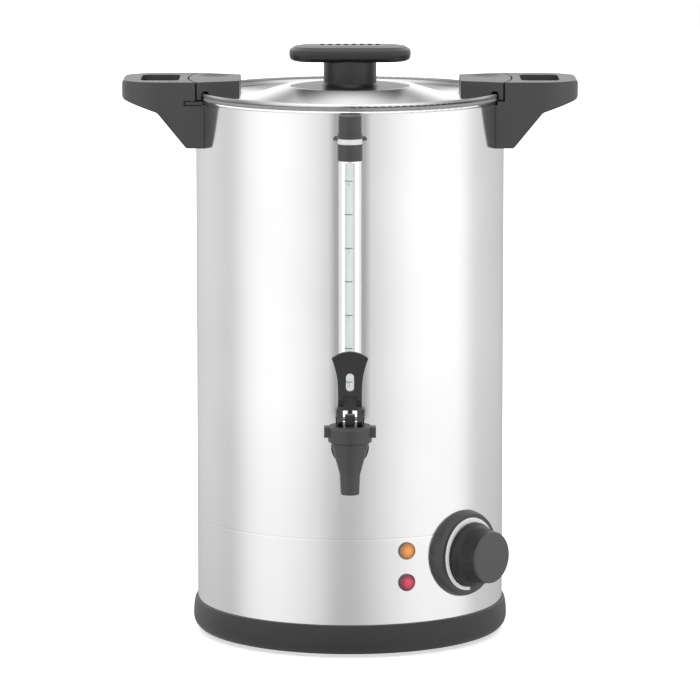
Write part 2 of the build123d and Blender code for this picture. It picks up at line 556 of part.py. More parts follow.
put("earth_stud", post(2.0, Z_PLATE, Z_PLATE + 10, 0, Y_EARTH) + post(4.6, Z_PLATE, Z_PLATE + 0.8, 0, Y_EARTH))
put("earth_stud", Pos(0, Y_EARTH, 0) * hexagon(7, Z_PLATE + 2.4, Z_PLATE + 5.6, 2.05))
put("earth_stud", pipe(2.1, 4.4, Z_PLATE + 0.8, Z_PLATE + 2.4, 0, Y_EARTH)
    + block(-2.2, 2.2, Y_EARTH + 4, Y_EARTH + 12, Z_PLATE + 0.8, Z_PLATE + 2.4))

# ------------------------------------------------------------------ wiring
WIRE, WIRE_BEND = 1.4, 6.0
x_live, x_neutral = poles[0], poles[1]
y_back = BLOCK_Y + BLOCK_DEPTH - 5    # wire ends inside the block, from the back
y_front = BLOCK_Y + 6                 # and from the front
z_tab = Z_PLATE + CUTOUT_HEIGHT + 8   # tops of the cut-out's tabs
z_pin = Z_INLET + PINS[0][1]
z_earth_pin = Z_INLET + PINS[2][1]
z_lug = Z_PLATE + 1.6
w_tab = W_BODY - 32
y_drop = Y_PIN_END - 10               # where the wires from the pins turn down
y_turn = BLOCK_Y + BLOCK_DEPTH + 12   # and turn level in front of the block
put("wires", wire(WIRE, WIRE_BEND, (PINS[0][0], Y_PIN_END, z_pin), (PINS[0][0], y_drop - 4, z_pin),
                  (x_live, y_drop - 4, 24), (x_live, y_turn, Z_ENTRY), (x_live, y_back, Z_ENTRY)))
put("wires", wire(WIRE, WIRE_BEND, (PINS[1][0], Y_PIN_END, z_pin), (PINS[1][0], y_drop, z_pin),
                  (x_neutral, y_drop, 24), (x_neutral, y_turn + 2, Z_ENTRY), (x_neutral, y_back, Z_ENTRY)))
put("wire_earth", wire(WIRE, 4.0, (0, Y_PIN_END, z_earth_pin), (0, y_drop, z_earth_pin), (-12, y_drop, 40),
                       (-12, Y_EARTH + 18, 14), (0, Y_EARTH + 19, z_lug), (0, Y_EARTH + 12, z_lug)))
put("wires", wire(WIRE, WIRE_BEND, (*tails[0], Z_TERMINAL), (*tails[0], 90), (x_neutral, 34, 34),
                  (x_neutral, 34, Z_ENTRY), (x_neutral, y_front, Z_ENTRY)))
put("wires", wire(WIRE, WIRE_BEND, (*tails[1], Z_TERMINAL), (*tails[1], 90), (RESET_X + 8, RESET_Y, 56),
                  (RESET_X + 8, RESET_Y, z_tab)))
put("wires", wire(WIRE, WIRE_BEND, at_dial(TAB_U, TAB_V, w_tab), at_dial(TAB_U, TAB_V, w_tab - 18),
                  (x_live, 30, 34), (x_live, 30, Z_ENTRY), (x_live, y_front, Z_ENTRY)))
put("wires", wire(WIRE, WIRE_BEND, at_dial(-TAB_U, TAB_V, w_tab), at_dial(-TAB_U, TAB_V, w_tab - 18),
                  (RESET_X - 8, RESET_Y, 58), (RESET_X - 8, RESET_Y, z_tab)))
put("sensing_bulb", wire(0.8, 4.0, (BULB_X, -HALF_BULB, BULB_Z), (BULB_X, -HALF_BULB - 9, BULB_Z),
                         (BULB_X, -HALF_BULB - 9, BULB_Z - 11), at_dial(0, 44, W_BODY - 12),
                         at_dial(0, 20, W_BODY - 12)))

# -------------------------------------------------------------------- tap
SOCKET_R, SOCKET_RISE = 8.1, 31.0      # cup that holds the glass, above the shank
R_SEAL = R_GLASS + RUN
Z_GLASS = Z_SHANK + 14
GUARD_RISE = 20.0
R_MOUTH = 5.0
R_SPIGOT, SPIGOT = 6.3, 5.5            # nozzle's upper end inside the body
SEAT_DROP = 4.8                        # seat below the shank's axis
R_SEAT = R_WATER + 0.5                 # outside of the raised seat
SEAT_TROUGH = 1.6                      # depth of the trough round it
BARREL_RISE = 17.0
SPRING_TOP = 18.6
R_CAP = 17.4                           # outside of the bonnet

tap_body = along_y(-R_SHELL + 33, FLANGE_Y - 2.8, R_SHANK, Z_SHANK)
tap_body += along_y(FLANGE_Y, FLANGE_Y - 3.3, 15.0, Z_SHANK)
tap_body += along_y(FLANGE_Y - 2.8, Y_TAP, R_SHANK - 0.4, Z_SHANK)
tap_body += spin([(0, -NOZZLE_DROP), (8.2, -NOZZLE_DROP), (15.1, 10.8, 0.6), (R_BARREL, 10.8),
                  (R_BARREL, BARREL_RISE), (0, BARREL_RISE)], 0, Y_TAP, Z_SHANK)
riser = post(9.8, Z_SHANK, Z_SHANK + GUARD_RISE, 0, Y_GAUGE)
tap_body += riser - block(-12, 12, FLANGE_Y, -R_SHELL + 15, Z_SHANK - 1, Z_SHANK + GUARD_RISE + 1)
tap_body += post(SOCKET_R, Z_SHANK + GUARD_RISE - 2, Z_SHANK + SOCKET_RISE, 0, Y_GAUGE)
# water ways
tap_body -= along_y(-R_SHELL + 34, Y_TAP, R_WATER, Z_SHANK)
tap_body -= post(2.6, Z_SHANK, Z_GLASS, 0, Y_GAUGE)
tap_body -= post(R_SEAL, Z_GLASS - 2, Z_SHANK + SOCKET_RISE + 1, 0, Y_GAUGE)
tap_body -= spin([(0, -NOZZLE_DROP - 1), (R_SPIGOT, -NOZZLE_DROP - 1), (R_SPIGOT, -NOZZLE_DROP + SPIGOT),
                  (R_MOUTH, -NOZZLE_DROP + SPIGOT), (R_MOUTH, -SEAT_DROP), (R_SEAT, -SEAT_DROP),
                  (R_SEAT, -SEAT_DROP - SEAT_TROUGH), (R_CHAMBER_FOOT, -SEAT_DROP - SEAT_TROUGH),
                  (R_CHAMBER, 7.5),
                  (R_CHAMBER, BARREL_RISE + 1), (0, BARREL_RISE + 1)], 0, Y_TAP, Z_SHANK)
put("tap_body", tap_body)
put("tap_spout", spin([(R_MOUTH, -SPOUT_DROP), (7.3, -SPOUT_DROP, 0.5), (7.7, -SPOUT_DROP + 9),
                       (8.1, -NOZZLE_DROP), (R_SPIGOT - 0.05, -NOZZLE_DROP), (R_SPIGOT - 0.05, -NOZZLE_DROP + SPIGOT),
                       (R_MOUTH, -NOZZLE_DROP + SPIGOT)], 0, Y_TAP, Z_SHANK))

through_walls = along_y(-R_SHELL + 35, Y_TAP, R_SHANK + 0.2, Z_SHANK)
Y_NUT = -R_TANK + 5
washer_out = along_y(-R_SHELL + 3, FLANGE_Y, 14.4, Z_SHANK) - through_walls - shell_outside
put("tap_washers", washer_out)
spacer = along_y(Y_NUT - 0.5, -R_SHELL - 1, 13.6, Z_SHANK) - along_y(-R_SHELL + 35, Y_TAP, R_SHANK + 0.4, Z_SHANK)
put("tap_washers", (spacer & shell_inside) - post(R_TANK + SHEET, 0, Z_TOP))
washer_in = along_y(Y_NUT, -R_TANK - 2.5, 15.0, Z_SHANK) - through_walls
put("tap_washers", washer_in & post(R_TANK, 0, Z_TOP))
put("tap_nut", Plane(origin=(0, Y_NUT, Z_SHANK), z_dir=(0, 1, 0)) * hexagon(27, 0, 7, R_SHANK + 0.05))

R_DISC = 8.6                           # rubber disc that closes the seat
put("tap_seat", spin([(0, -SEAT_DROP), (R_DISC, -SEAT_DROP, 0.6), (R_DISC, 2, 0.6), (R_STEM, 2), (R_STEM, -0.4),
                      (3.4, -0.4), (3.4, -2), (0, -2)], 0, Y_TAP, Z_SHANK))
stem = spin([(0, -2), (3.4, -2), (3.4, -0.4), (R_STEM, -0.4), (R_STEM, 2), (6.6, 2), (6.6, 3.4), (R_STEM, 3.4),
             (R_STEM, BONNET_RISE + 2.5), (0, BONNET_RISE + 2.5)], 0, Y_TAP, Z_SHANK)
stem += block(-3.9, 3.9, Y_TAP - 3.5, Y_TAP + 3.5, Z_BONNET + 0.7, Z_PIN + 3.4)
stem -= bar((-6, Y_TAP, Z_PIN), (6, Y_TAP, Z_PIN), R_PIN)
put("tap_stem", stem)
put("tap_spring", coil_spring(4.7, 0.45, Z_SHANK + 3.4, Z_SHANK + SPRING_TOP, 6, 0, Y_TAP))
put("tap_washers", pipe(R_CHAMBER, R_BARREL - FIT, Z_SHANK + BARREL_RISE, Z_SHANK + SPRING_TOP, 0, Y_TAP))
put("tap_pin", bar((-HALF_FORK + FIT, Y_TAP, Z_PIN), (HALF_FORK - FIT, Y_TAP, Z_PIN), R_PIN))

R_BONNET_BORE = R_BARREL + FIT
WING_X, WING_Y = 20.3, 5.0
GUIDE_X = HALF_FORK + 0.4              # cheeks beside the lever
bonnet = spin([(R_BONNET_BORE, 11.0), (R_CAP - 0.2, 11.0, 0.6), (R_CAP, BONNET_RISE - 2.4, 0.8),
               (R_CAP - 1.1, BONNET_RISE, 0.5), (R_STEM + 0.2, BONNET_RISE), (R_STEM + 0.2, SPRING_TOP),
               (R_BONNET_BORE, SPRING_TOP)], 0, Y_TAP, Z_SHANK)
wings = block(-WING_X, WING_X, Y_TAP - WING_Y, Y_TAP + WING_Y, Z_SHANK + 14.8, Z_BONNET - 0.9)
for s in (-1, 1):
    wings -= block(s * (WING_X + 0.7), s * (WING_X - 2.8), Y_TAP - 3, Y_TAP + 3, Z_SHANK + 14, Z_SHANK + SPRING_TOP)
bonnet += wings - post(R_BONNET_BORE, Z_SHANK + 8, Z_BONNET - 3.5, 0, Y_TAP)
bonnet -= post(R_STEM + 0.2, Z_SHANK + 8, Z_BONNET + 5, 0, Y_TAP)
bonnet += block(-1.1, 1.1, Y_TAP - R_CAP - 0.5, Y_TAP - R_CAP + 1.2, Z_SHANK + 12.4, Z_BONNET - 3.5)
for s in (-1, 1):
    bonnet += block(s * GUIDE_X, s * (GUIDE_X + 1.5), Y_TAP - 3, Y_TAP + 3, Z_BONNET - 1.5, Z_BONNET + 6.8)
put("tap_bonnet", bonnet)

# the lever's heel: its height below the pin grows evenly with the swing
HEEL_STEPS = 8
heel = []
for i in range(HEEL_STEPS + 1):
    t = radians(LEVER_SWING) * i / HEEL_STEPS
    depth = HEEL + LIFT_PER_RAD * t
    heel.append((Y_TAP - depth * sin(t) - LIFT_PER_RAD * cos(t), Z_PIN - depth * cos(t) + LIFT_PER_RAD * sin(t)))
nose = heel[-1]


def from_pin(points):
    """Points given from the lever's pin, as (y, z) of the model."""
    return [(Y_TAP + y, Z_PIN + z) for y, z in points]


front_edge = from_pin([(-8.0, 16.0), (-8.4, 25.8), (-9.5, 42.0), (-12.1, 56.0)])
back_edge = from_pin([(-8.9, 57.0), (-5.9, 42.0), (-4.5, 27.8), (2.2, 15.5)])
side_view = make_face([
    Polyline(*from_pin([(5.2, 2.0), (5.2, -HEEL)]), heel[0]),
    Spline(*heel),
    Polyline(nose, (nose[0] + 0.9, nose[1] + 1.8), *from_pin([(-5.6, 6.6), (-4.6, 10.0)]), front_edge[0]),
    Spline(*front_edge),
    Line(front_edge[-1], back_edge[0]),
    Spline(*back_edge),
    Polyline(back_edge[-1], *from_pin([(4.4, 8.5), (5.2, 2.0)])),
])
right_edge = [(14.3, 49.3), (11.7, 41.3), (10.1, 33.8), (9.4, 24.8), (HALF_FORK, 15.5), (HALF_FORK, -8.5)]
left_edge = [(-x, z) for x, z in right_edge[::-1]]
front_plane = Plane(origin=(0, Y_TAP, Z_PIN), x_dir=(1, 0, 0), z_dir=(0, -1, 0))
front_view = make_face([
    Spline(*left_edge),
    ThreePointArc(left_edge[-1], (0, 54.7), right_edge[0]),
    Spline(*right_edge),
    Line(right_edge[-1], left_edge[0]),
])
lever = extrude(Plane.YZ * side_view, amount=20, both=True)
lever &= extrude(front_plane * front_view, amount=30, both=True)
lever -= block(-HALF_SLIT, HALF_SLIT, Y_TAP - 20, Y_TAP + 20, Z_PIN - 10.5, Z_PIN + 7.1)
lever -= block(-HALF_SLIT, HALF_SLIT, Y_TAP - 20, Y_TAP - 3.6, Z_PIN - 10.5, Z_PIN + 19.0)
lever -= slab([(-3.1, 22.7, 3.0), (3.1, 22.7, 3.0), (3.1, 37.2, 3.0), (-3.1, 37.2, 3.0)], front_plane, 30)
lever -= bar((-12, Y_TAP, Z_PIN), (12, Y_TAP, Z_PIN), R_PIN + 0.05)
put("tap_lever", lever)

# ----------------------------------------------------------- sight gauge
GLASS_TOP = 7.0          # above the bracket's middle
GUARD_TOP = 6.4          # below it
put("gauge_glass", pipe(R_GLASS_BORE, R_GLASS, Z_GLASS, Z_BRACKET + GLASS_TOP, 0, Y_GAUGE))
put("gauge_seals", pipe(3.0, R_SEAL - 0.05, Z_GLASS - 2, Z_GLASS, 0, Y_GAUGE))
put("gauge_seals", pipe(R_GLASS, R_GUARD - 1.4, Z_BRACKET - 9.4, Z_BRACKET - GUARD_TOP, 0, Y_GAUGE))
guard = pipe(R_GUARD - SHEET, R_GUARD, Z_SHANK + GUARD_RISE + 0.2, Z_BRACKET - GUARD_TOP, 0, Y_GAUGE)
guard -= block(-HALF_SLOT, HALF_SLOT, Y_GAUGE - 20, Y_GAUGE, Z_SHANK + SLOT_BOTTOM, Z_BRACKET - SLOT_TOP)
put("gauge_guard", guard)
put("gauge_scale", pipe(R_GLASS + 0.15, R_GLASS + 0.45, Z_SHANK + 34, Z_BRACKET - 19, 0, Y_GAUGE)
    & block(-4.2, 4.2, Y_GAUGE + 2, Y_GAUGE + 8, Z_SHANK + 34, Z_BRACKET - 19))
for litres in range(FIRST_MARK, LAST_MARK + 1):
    z = Z_FLOOR + LITRE * litres
    tick = pipe(R_GLASS, R_GLASS + 0.12, z - TICK_HEIGHT / 2, z + TICK_HEIGHT / 2, 0, Y_GAUGE)
    put("gauge_ticks", tick & block(TICK_LEFT, TICK_RIGHT, Y_GAUGE - 8, Y_GAUGE, z - 1, z + 1))
R_COLLAR_TOP = 9.8
Z_CLIP = Z_BRACKET - 3.1
CLIP = 4.2
put("gauge_collar", spin([(R_GUARD, -16.3), (R_COLLAR_TOP, -16.3, 0.4), (R_COLLAR_TOP, -3.1), (R_GLASS + FIT, -3.1),
                          (R_GLASS + FIT, -GUARD_TOP), (R_GUARD, -GUARD_TOP)], 0, Y_GAUGE, Z_BRACKET))
put("gauge_clip", pipe(R_GLASS + FIT, R_COLLAR_TOP - 0.2, Z_CLIP, Z_CLIP + CLIP, 0, Y_GAUGE))
Y_LUG = Y_GAUGE + 3
saddle = Pos(0, 0, Z_BRACKET) * slab(
    [(-13.2, FLANGE_Y), (-13.2, FLANGE_Y - 2.3), (-9, Y_LUG), (9, Y_LUG), (13.2, FLANGE_Y - 2.3), (13.2, FLANGE_Y),
     (9, -R_SHELL + 1), (-9, -R_SHELL + 1)], Plane.XY, 1)
saddle += block(-9, 9, Y_GAUGE + R_COLLAR_TOP + FIT, -R_SHELL + 7, Z_BRACKET - 10, Z_BRACKET + 8)
saddle -= post(R_COLLAR_TOP - 0.2, Z_BRACKET - 5, Z_BRACKET + 2, 0, Y_GAUGE) + shell_outside
for z in bracket_heights:
    saddle -= along_y(-R_SHELL + 7, -R_SHELL - 1.8, R_BSCREW + 0.05, z)
put("gauge_bracket", saddle)
put("case_screws", group(
    along_y(-R_SHELL + 3.6, -R_SHELL + SHEET + 0.05, 2.6, z) + along_y(-R_SHELL + 0.9, -R_SHELL - 1.4, R_BSCREW, z)
    for z in bracket_heights))
CAP_HEIGHT = 18.4
put("gauge_cap", spin([(R_GLASS + FIT, 0), (R_COLLAR_TOP, 0, 0.3), (R_COLLAR_TOP, 3.9, 0.3),
                       (R_COLLAR_TOP - 0.7, 3.9), (R_COLLAR_TOP - 0.7, CAP_HEIGHT, 1.4), (1.0, CAP_HEIGHT), (1.0, GLASS_TOP + 0.9),
                       (R_GLASS + FIT, GLASS_TOP + 0.9)], 0, Y_GAUGE, Z_CLIP + CLIP))

# ----------------------------------------------------------- side handles
NOTCH_X, NOTCH_Z = (R_SHELL - 6, R_SHELL + 8.5), (Z_RIM - 3.9, Z_RIM + 0.1)
Z_LEDGE_TOP = Z_RIM + EAR_UNDER - 1.0      # handle's top under the ear's outer edge
R_RIM_CLEAR = R_SHELL + 1.2
above_rim = post(R_RIM_CLEAR, Z_RIM - 2.9, Z_TOP)
rim_section = Plane(origin=(0, 0, Z_RIM), x_dir=(1, 0, 0), z_dir=(0, -1, 0))


def handle():
    """Moulded side handle, with its keeper groove at the front end."""
    x = R_SHELL - 15
    body = slab([(x, -38.0), (R_SHELL + 6.6, -38.0, 3), (R_SHELL + 30, -9.4, 6), (R_HANDLE, 0.4, 4.0),
                 (R_HANDLE, HANDLE_TOP, 3.0), (x, HANDLE_TOP)], rim_section, HALF_HANDLE)
    plan = outline([(x - 10, -HALF_HANDLE), (R_HANDLE, -HALF_HANDLE, HANDLE_CORNER),
                    (R_HANDLE, HALF_HANDLE, HANDLE_CORNER), (x - 10, HALF_HANDLE)])
    body &= extrude(Plane.XY.offset(Z_RIM - 60) * plan, amount=100)
    body -= shell_outside
    body -= above_rim
    body -= post(R_SEAM + SEAM_GAP, Z_LEDGE_TOP, Z_TOP)
    hole = outline([(SLOT_X0, -SLOT_Y, 6), (SLOT_X1, -SLOT_Y, 6), (SLOT_X1, SLOT_Y, 6), (SLOT_X0, SLOT_Y, 6)])
    body -= extrude(Plane.XY.offset(Z_RIM - 60) * hole, amount=100)
    # keeper groove at the end that the lid turns out of, with its tongue
    body -= block(*NOTCH_X, -HALF_HANDLE - 1, -HALF_HANDLE + 3.0, *NOTCH_Z)
    tongue = block(NOTCH_X[0], NOTCH_X[1] - 1.2, -HALF_HANDLE + 0.5, -HALF_HANDLE + 3.5,
                   NOTCH_Z[0] + 0.8, Z_LEDGE_TOP - 0.4)
    body += tongue - above_rim - shell_outside
    for y in (-HANDLE_SCREW_Y, HANDLE_SCREW_Y):
        body -= radial(1, y, R_SHELL - 5, R_SHELL + 13, R_HSCREW + 0.05, Z_HSCREW)
    return body


# the right handle opens at the back, the left one at the front
front_handle = handle()
put("handle_right", mirror(front_handle, about=Plane.XZ))
put("handle_left", mirror(front_handle, about=Plane.YZ))
DOUBLER = 2.0            # strip that backs the shell behind each handle
HALF_STRIP = HANDLE_SCREW_Y + 10.0
for side in (-1, 1):
    strip = pipe(R_SHELL - SHEET - DOUBLER, R_SHELL - SHEET, Z_HSCREW - 8, Z_HSCREW + 8)
    strip &= block(side * (R_SHELL - 35), side * (R_SHELL + 5), -HALF_STRIP, HALF_STRIP, Z_HSCREW - 13, Z_HSCREW + 12)
    for y in (-HANDLE_SCREW_Y, HANDLE_SCREW_Y):
        strip -= radial(side, y, *THROUGH, R_HSCREW + 0.15, Z_HSCREW)
    put("inner_brackets", strip)
R_STRIP = R_SHELL - SHEET - DOUBLER
put("handle_screws", group(
    radial(side, y, R_STRIP - 3.2, R_STRIP - 0.08, 3.8, Z_HSCREW)
    + radial(side, y, R_STRIP - 0.2, R_SHELL + 11.5, R_HSCREW, Z_HSCREW) for side, y in handle_screws))

# -------------------------------------------------------------------- lid
R_LID = R_SHELL
EDGE_ROUND = 1.35
lid = spin([(10.0, LID_CENTRE + SHEET), (R_LID_CENTRE - 0.5, LID_CENTRE + SHEET),
            (R_LID_CENTRE + 0.3, LID_PLATEAU, 0.8), (R_LID_CENTRE + 5.3, LID_PLATEAU, 2.0), (R_LID_SHOULDER + 13.3, LID_VALLEY, 3.0),
            (R_LID - 6.4, LID_VALLEY, 1.0), (R_LID - 3.4, LID_EDGE - 1.4), (R_LID - 2.8, LID_EDGE - 2.0),
            (R_LID - 5.8, LID_VALLEY - SHEET, 1.0), (R_LID_SHOULDER + 13.0, LID_VALLEY - SHEET, 3.0),
            (R_LID_CENTRE + 5.0, LID_PLATEAU - SHEET, 2.0), (R_LID_CENTRE + 1.0, LID_PLATEAU - SHEET),
            (R_LID_CENTRE + 0.2, LID_CENTRE), (10.0, LID_CENTRE)], z=Z_RIM)
lid += spin([(R_LID - 4, LID_EDGE - 2.9, EDGE_ROUND), (R_LID, LID_EDGE - 2.9, EDGE_ROUND),
             (R_LID, LID_EDGE, EDGE_ROUND), (R_LID - 4, LID_EDGE, EDGE_ROUND)], z=Z_RIM)
ear_screws = [(side * EAR_SCREW_X, y) for side in (-1, 1) for y in (-EAR_SCREW_Y, EAR_SCREW_Y)]
knob_screws = ring_points(3, 16, 90)
R_LSCREW = 1.5
for x, y in ear_screws + knob_screws:
    lid -= post(R_LSCREW + FIT, Z_RIM - 8, Z_RIM + 22, x, y)
put("lid_pan", lid)
put("lid_seal", spin([(R_LID - 0.6, 0, 0.4), (R_LID - 0.6, LID_EDGE - 2.9, 0.4), (R_LID - 2.7, LID_EDGE - 2.9),
                      (R_LID - 5.1, LID_VALLEY - 0.6), (R_LID - 5.1, 0)], z=Z_RIM))


def ear():
    """Black ear: lies on the lid's valley, arches over the rim and ends at the seam."""
    body = spin([(X_EAR - 20, LID_VALLEY), (R_LID - 7.4, LID_VALLEY), (R_LID - 4.8, LID_EDGE + 0.4, 0.8),
                 (R_LID - 3.6, LID_EDGE + 2.2, 1.5), (R_LID + 0.4, LID_EDGE + 2.2, 1.5),
                 (R_LID + 1.6, LID_EDGE + 0.2), (R_LID + 1.6, EAR_UNDER), (R_SEAM, EAR_UNDER), (R_SEAM, HANDLE_TOP), (X_EAR - 20, HANDLE_TOP)], z=Z_RIM)
    x_wide = (R_SEAM ** 2 - HALF_HANDLE ** 2) ** 0.5
    plan = outline([(X_EAR, -HALF_EAR_END, 3.5), (x_wide, -HALF_HANDLE), (R_SEAM + 20, -HALF_HANDLE),
                    (R_SEAM + 20, HALF_HANDLE), (x_wide, HALF_HANDLE), (X_EAR, HALF_EAR_END, 3.5)])
    body &= extrude(Plane.XY.offset(Z_RIM - 8) * plan, amount=40)
    body -= thumb_dish(DISH_X, DISH_Y, DISH_HALF_X, DISH_HALF_Y, DISH_DEPTH)
    for y in (-EAR_SCREW_Y, EAR_SCREW_Y):
        body -= post(R_LSCREW + 0.05, Z_RIM - 8, Z_RIM + 10.7, EAR_SCREW_X, y)
    return body


def thumb_dish(x, y, half_x, half_y, depth):
    """Cutter for an oval hollow in the top of an ear."""
    bowl = make_face([ThreePointArc((-half_y, Z_HANDLE), (0, Z_HANDLE - depth), (half_y, Z_HANDLE)),
                      Polyline((half_y, Z_HANDLE), (half_y, Z_HANDLE + half_x), (-half_y, Z_HANDLE + half_x),
                               (-half_y, Z_HANDLE))])
    r = (half_x ** 2 - depth ** 2) / (2 * depth)
    return revolve(Plane(origin=(x, y, 0), x_dir=(0, 1, 0), z_dir=(1, 0, 0)) * bowl,
                   axis=Axis((x, y, Z_HANDLE + r), (0, 1, 0)))


put("lid_ear_right", ear())
put("lid_ear_left", mirror(ear(), about=Plane.YZ))
put("lid_screws", group(
    post(3.2, Z_VALLEY - SHEET - 2.1, Z_VALLEY - SHEET, x, y) + post(R_LSCREW, Z_VALLEY - SHEET, Z_RIM + 9.7, x, y)
    for x, y in ear_screws))


# grip: flange, neck and lower half in one moulding, upper half with vents
def level(inset, z):
    """The grip's outline at a height above the rim, drawn in by inset."""
    return Plane.XY.offset(Z_RIM + z) * RectangleRounded(
        2 * (KNOB_A - inset), 2 * (KNOB_B - inset), KNOB_CORNER - inset)


Z_GRIP = Z_RIM + LID_CENTRE + SHEET
R_NECK_BORE = 10.0
KNOB_FLOOR = 3.0         # floor of the hollow below the parting
parting, under, over = KNOB_PARTING, KNOB_UNDER, KNOB_TOP
grip = loft([level(8.0, under), level(3.8, under + 0.4), level(1.4, under + 1.6), level(0.3, under + 3.4),
             level(0, parting)], ruled=True)
grip += post(R_NECK, Z_GRIP + 1.5, Z_RIM + under + 1.0)
grip += spin([(0, 0), (R_LID_CENTRE - 0.8, 0), (R_LID_CENTRE - 0.8, 2.3, 0.9), (R_NECK + 2.6, 2.3, 2.5),
              (R_NECK, 5.1, 1.0), (0, 5.1)], z=Z_GRIP)
grip -= post(R_NECK_BORE, Z_GRIP - 4.5, Z_PARTING - KNOB_FLOOR + 1.0)
grip -= extrude(level(KNOB_WALL, parting - KNOB_FLOOR), amount=10)
for x, y in knob_screws:
    grip -= post(R_LSCREW + 0.05, Z_GRIP - 4.5, Z_GRIP + 14.5, x, y)
put("knob_base", grip)
cap = loft([level(0, parting), level(0.2, parting + 2.6), level(0.7, parting + 3.7), level(4.6, over - 1.4),
            level(10.3, over - 0.5), level(19.0, over)], ruled=True)
cap -= extrude(level(KNOB_WALL, parting - 1), amount=3.6) + extrude(level(8.55, parting + 2), amount=2.6)
for i in range(VENTS):
    vent = Pos(VENT_PITCH * (i - (VENTS - 1) / 2), 0) * SlotOverall(VENT_LENGTH, VENT_WIDTH, rotation=90)
    cap -= extrude(Plane.XY.offset(Z_PARTING - 1) * vent, amount=20)
put("knob_cap", cap)
put("lid_screws", group(
    post(3.2, Z_RIM + LID_CENTRE - 2.2, Z_RIM + LID_CENTRE, x, y)
    + post(R_LSCREW, Z_RIM + LID_CENTRE, Z_GRIP + 13.5, x, y) for x, y in knob_screws))

# ----------------------------------------------------------------- export
os.makedirs("parts", exist_ok=True)
for name, shapes in nodes.items():
    shape = shapes[0] if len(shapes) == 1 else group(shapes)
    export_step(shape, f"parts/{name}.step")
    box = shape.bounding_box()
    print(f"{name:20s} solids {len(shape.solids())} volume {shape.volume:11.1f} "
          f"x {box.min.X:8.2f} {box.max.X:8.2f} y {box.min.Y:8.2f} {box.max.Y:8.2f} z {box.min.Z:8.2f} {box.max.Z:8.2f}")
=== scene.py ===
# %% [markdown]
# # A hot water urn, dressed for a studio picture
#
# The solid model gives every casing, screw and seal its true size. This
# notebook gives each of them its finish: mirror-polished sheet steel, satin
# black mouldings, clear glass, coloured lamp lenses. It then adds the few
# surfaces that a solid modeller draws badly, such as numerals printed round a
# tube. Lengths are in metres, +Z is up and the tap faces -Y.

# %% Load the solid model
from math import cos, degrees, pi, radians, sin

import bmesh
import bpy
import numpy as np
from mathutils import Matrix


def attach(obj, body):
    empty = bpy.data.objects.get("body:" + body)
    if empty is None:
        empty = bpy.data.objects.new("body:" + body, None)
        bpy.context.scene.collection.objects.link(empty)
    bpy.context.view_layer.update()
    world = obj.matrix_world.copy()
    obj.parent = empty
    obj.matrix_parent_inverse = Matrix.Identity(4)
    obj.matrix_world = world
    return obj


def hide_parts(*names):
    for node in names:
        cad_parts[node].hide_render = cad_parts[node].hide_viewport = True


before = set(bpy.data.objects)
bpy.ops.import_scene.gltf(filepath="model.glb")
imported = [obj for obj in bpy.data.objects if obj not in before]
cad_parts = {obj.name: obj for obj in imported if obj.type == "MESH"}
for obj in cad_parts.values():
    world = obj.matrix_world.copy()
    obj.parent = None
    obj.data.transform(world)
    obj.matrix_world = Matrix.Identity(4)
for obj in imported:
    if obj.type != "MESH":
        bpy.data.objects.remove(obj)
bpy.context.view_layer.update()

# %% [markdown]
# ## The camera comes first
#
# Everything is judged through one lens, so it is set before any finish. A long
# lens from almost four metres keeps the urn's sides nearly parallel, as a
# catalogue photographer would. It looks down by eight and a half degrees.

# %% Camera
SENSOR_MM = 36.0
LENS_MM = 248.05
CAMERA_DISTANCE = 3.899
CAMERA_HEIGHT = 0.8115
LOOK_DOWN = 0.148

camera_data = bpy.data.cameras.new("studio_camera")
camera_data.sensor_width = SENSOR_MM
camera_data.lens = LENS_MM
camera_data.clip_end = 50.0
camera = bpy.data.objects.new("studio_camera", camera_data)
camera.location = (0.0, -CAMERA_DISTANCE, CAMERA_HEIGHT)
camera.rotation_euler = (pi / 2 - LOOK_DOWN, 0.0, 0.0)
bpy.context.scene.collection.objects.link(camera)
bpy.context.scene.camera = camera
print("camera looks down by", round(degrees(LOOK_DOWN), 1), "degrees")

# %% [markdown]
# The Standard view shows a colour about as it is written, and leaves the white
# of the backdrop white.

# %% View
view = bpy.context.scene.view_settings
view.view_transform = "Standard"
print("the view is", view.view_transform)

# %% [markdown]
# ## Node helpers
#
# A Blender material is a small graph of nodes. Short helpers keep the recipes
# below readable: one starts a material with a Principled shader, one adds a
# node and fills its sockets, and the rest wrap the few nodes that every recipe
# uses, such as noise, a straight ramp from one number to another, or a sum.

# %% Helpers that start a graph
def new_finish(name, colour, roughness, metallic=0.0):
    """A material with one Principled shader; returns the material, its graph and the shader."""
    finish = bpy.data.materials.new(name)
    finish.use_nodes = True
    graph = finish.node_tree
    shader = graph.nodes["Principled BSDF"]
    shader.inputs["Base Color"].default_value = (*colour, 1.0)
    shader.inputs["Roughness"].default_value = roughness
    shader.inputs["Metallic"].default_value = metallic
    finish.diffuse_color = (*colour, 1.0)
    return finish, graph, shader


def add(graph, kind, **settings):
    """Add a node; a setting named after an input socket fills it, others set attributes."""
    node = graph.nodes.new(kind)
    for key, value in settings.items():
        socket = node.inputs.get(key.replace("_", " "))
        if socket is not None:
            socket.default_value = value
        else:
            setattr(node, key, value)
    return node


def dress(finish, *names):
    """Give CAD nodes a finish in place of their plain one."""
    for name in names:
        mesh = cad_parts[name].data
        mesh.materials.clear()
        mesh.materials.append(finish)
    print(finish.name, "is on", ", ".join(names))


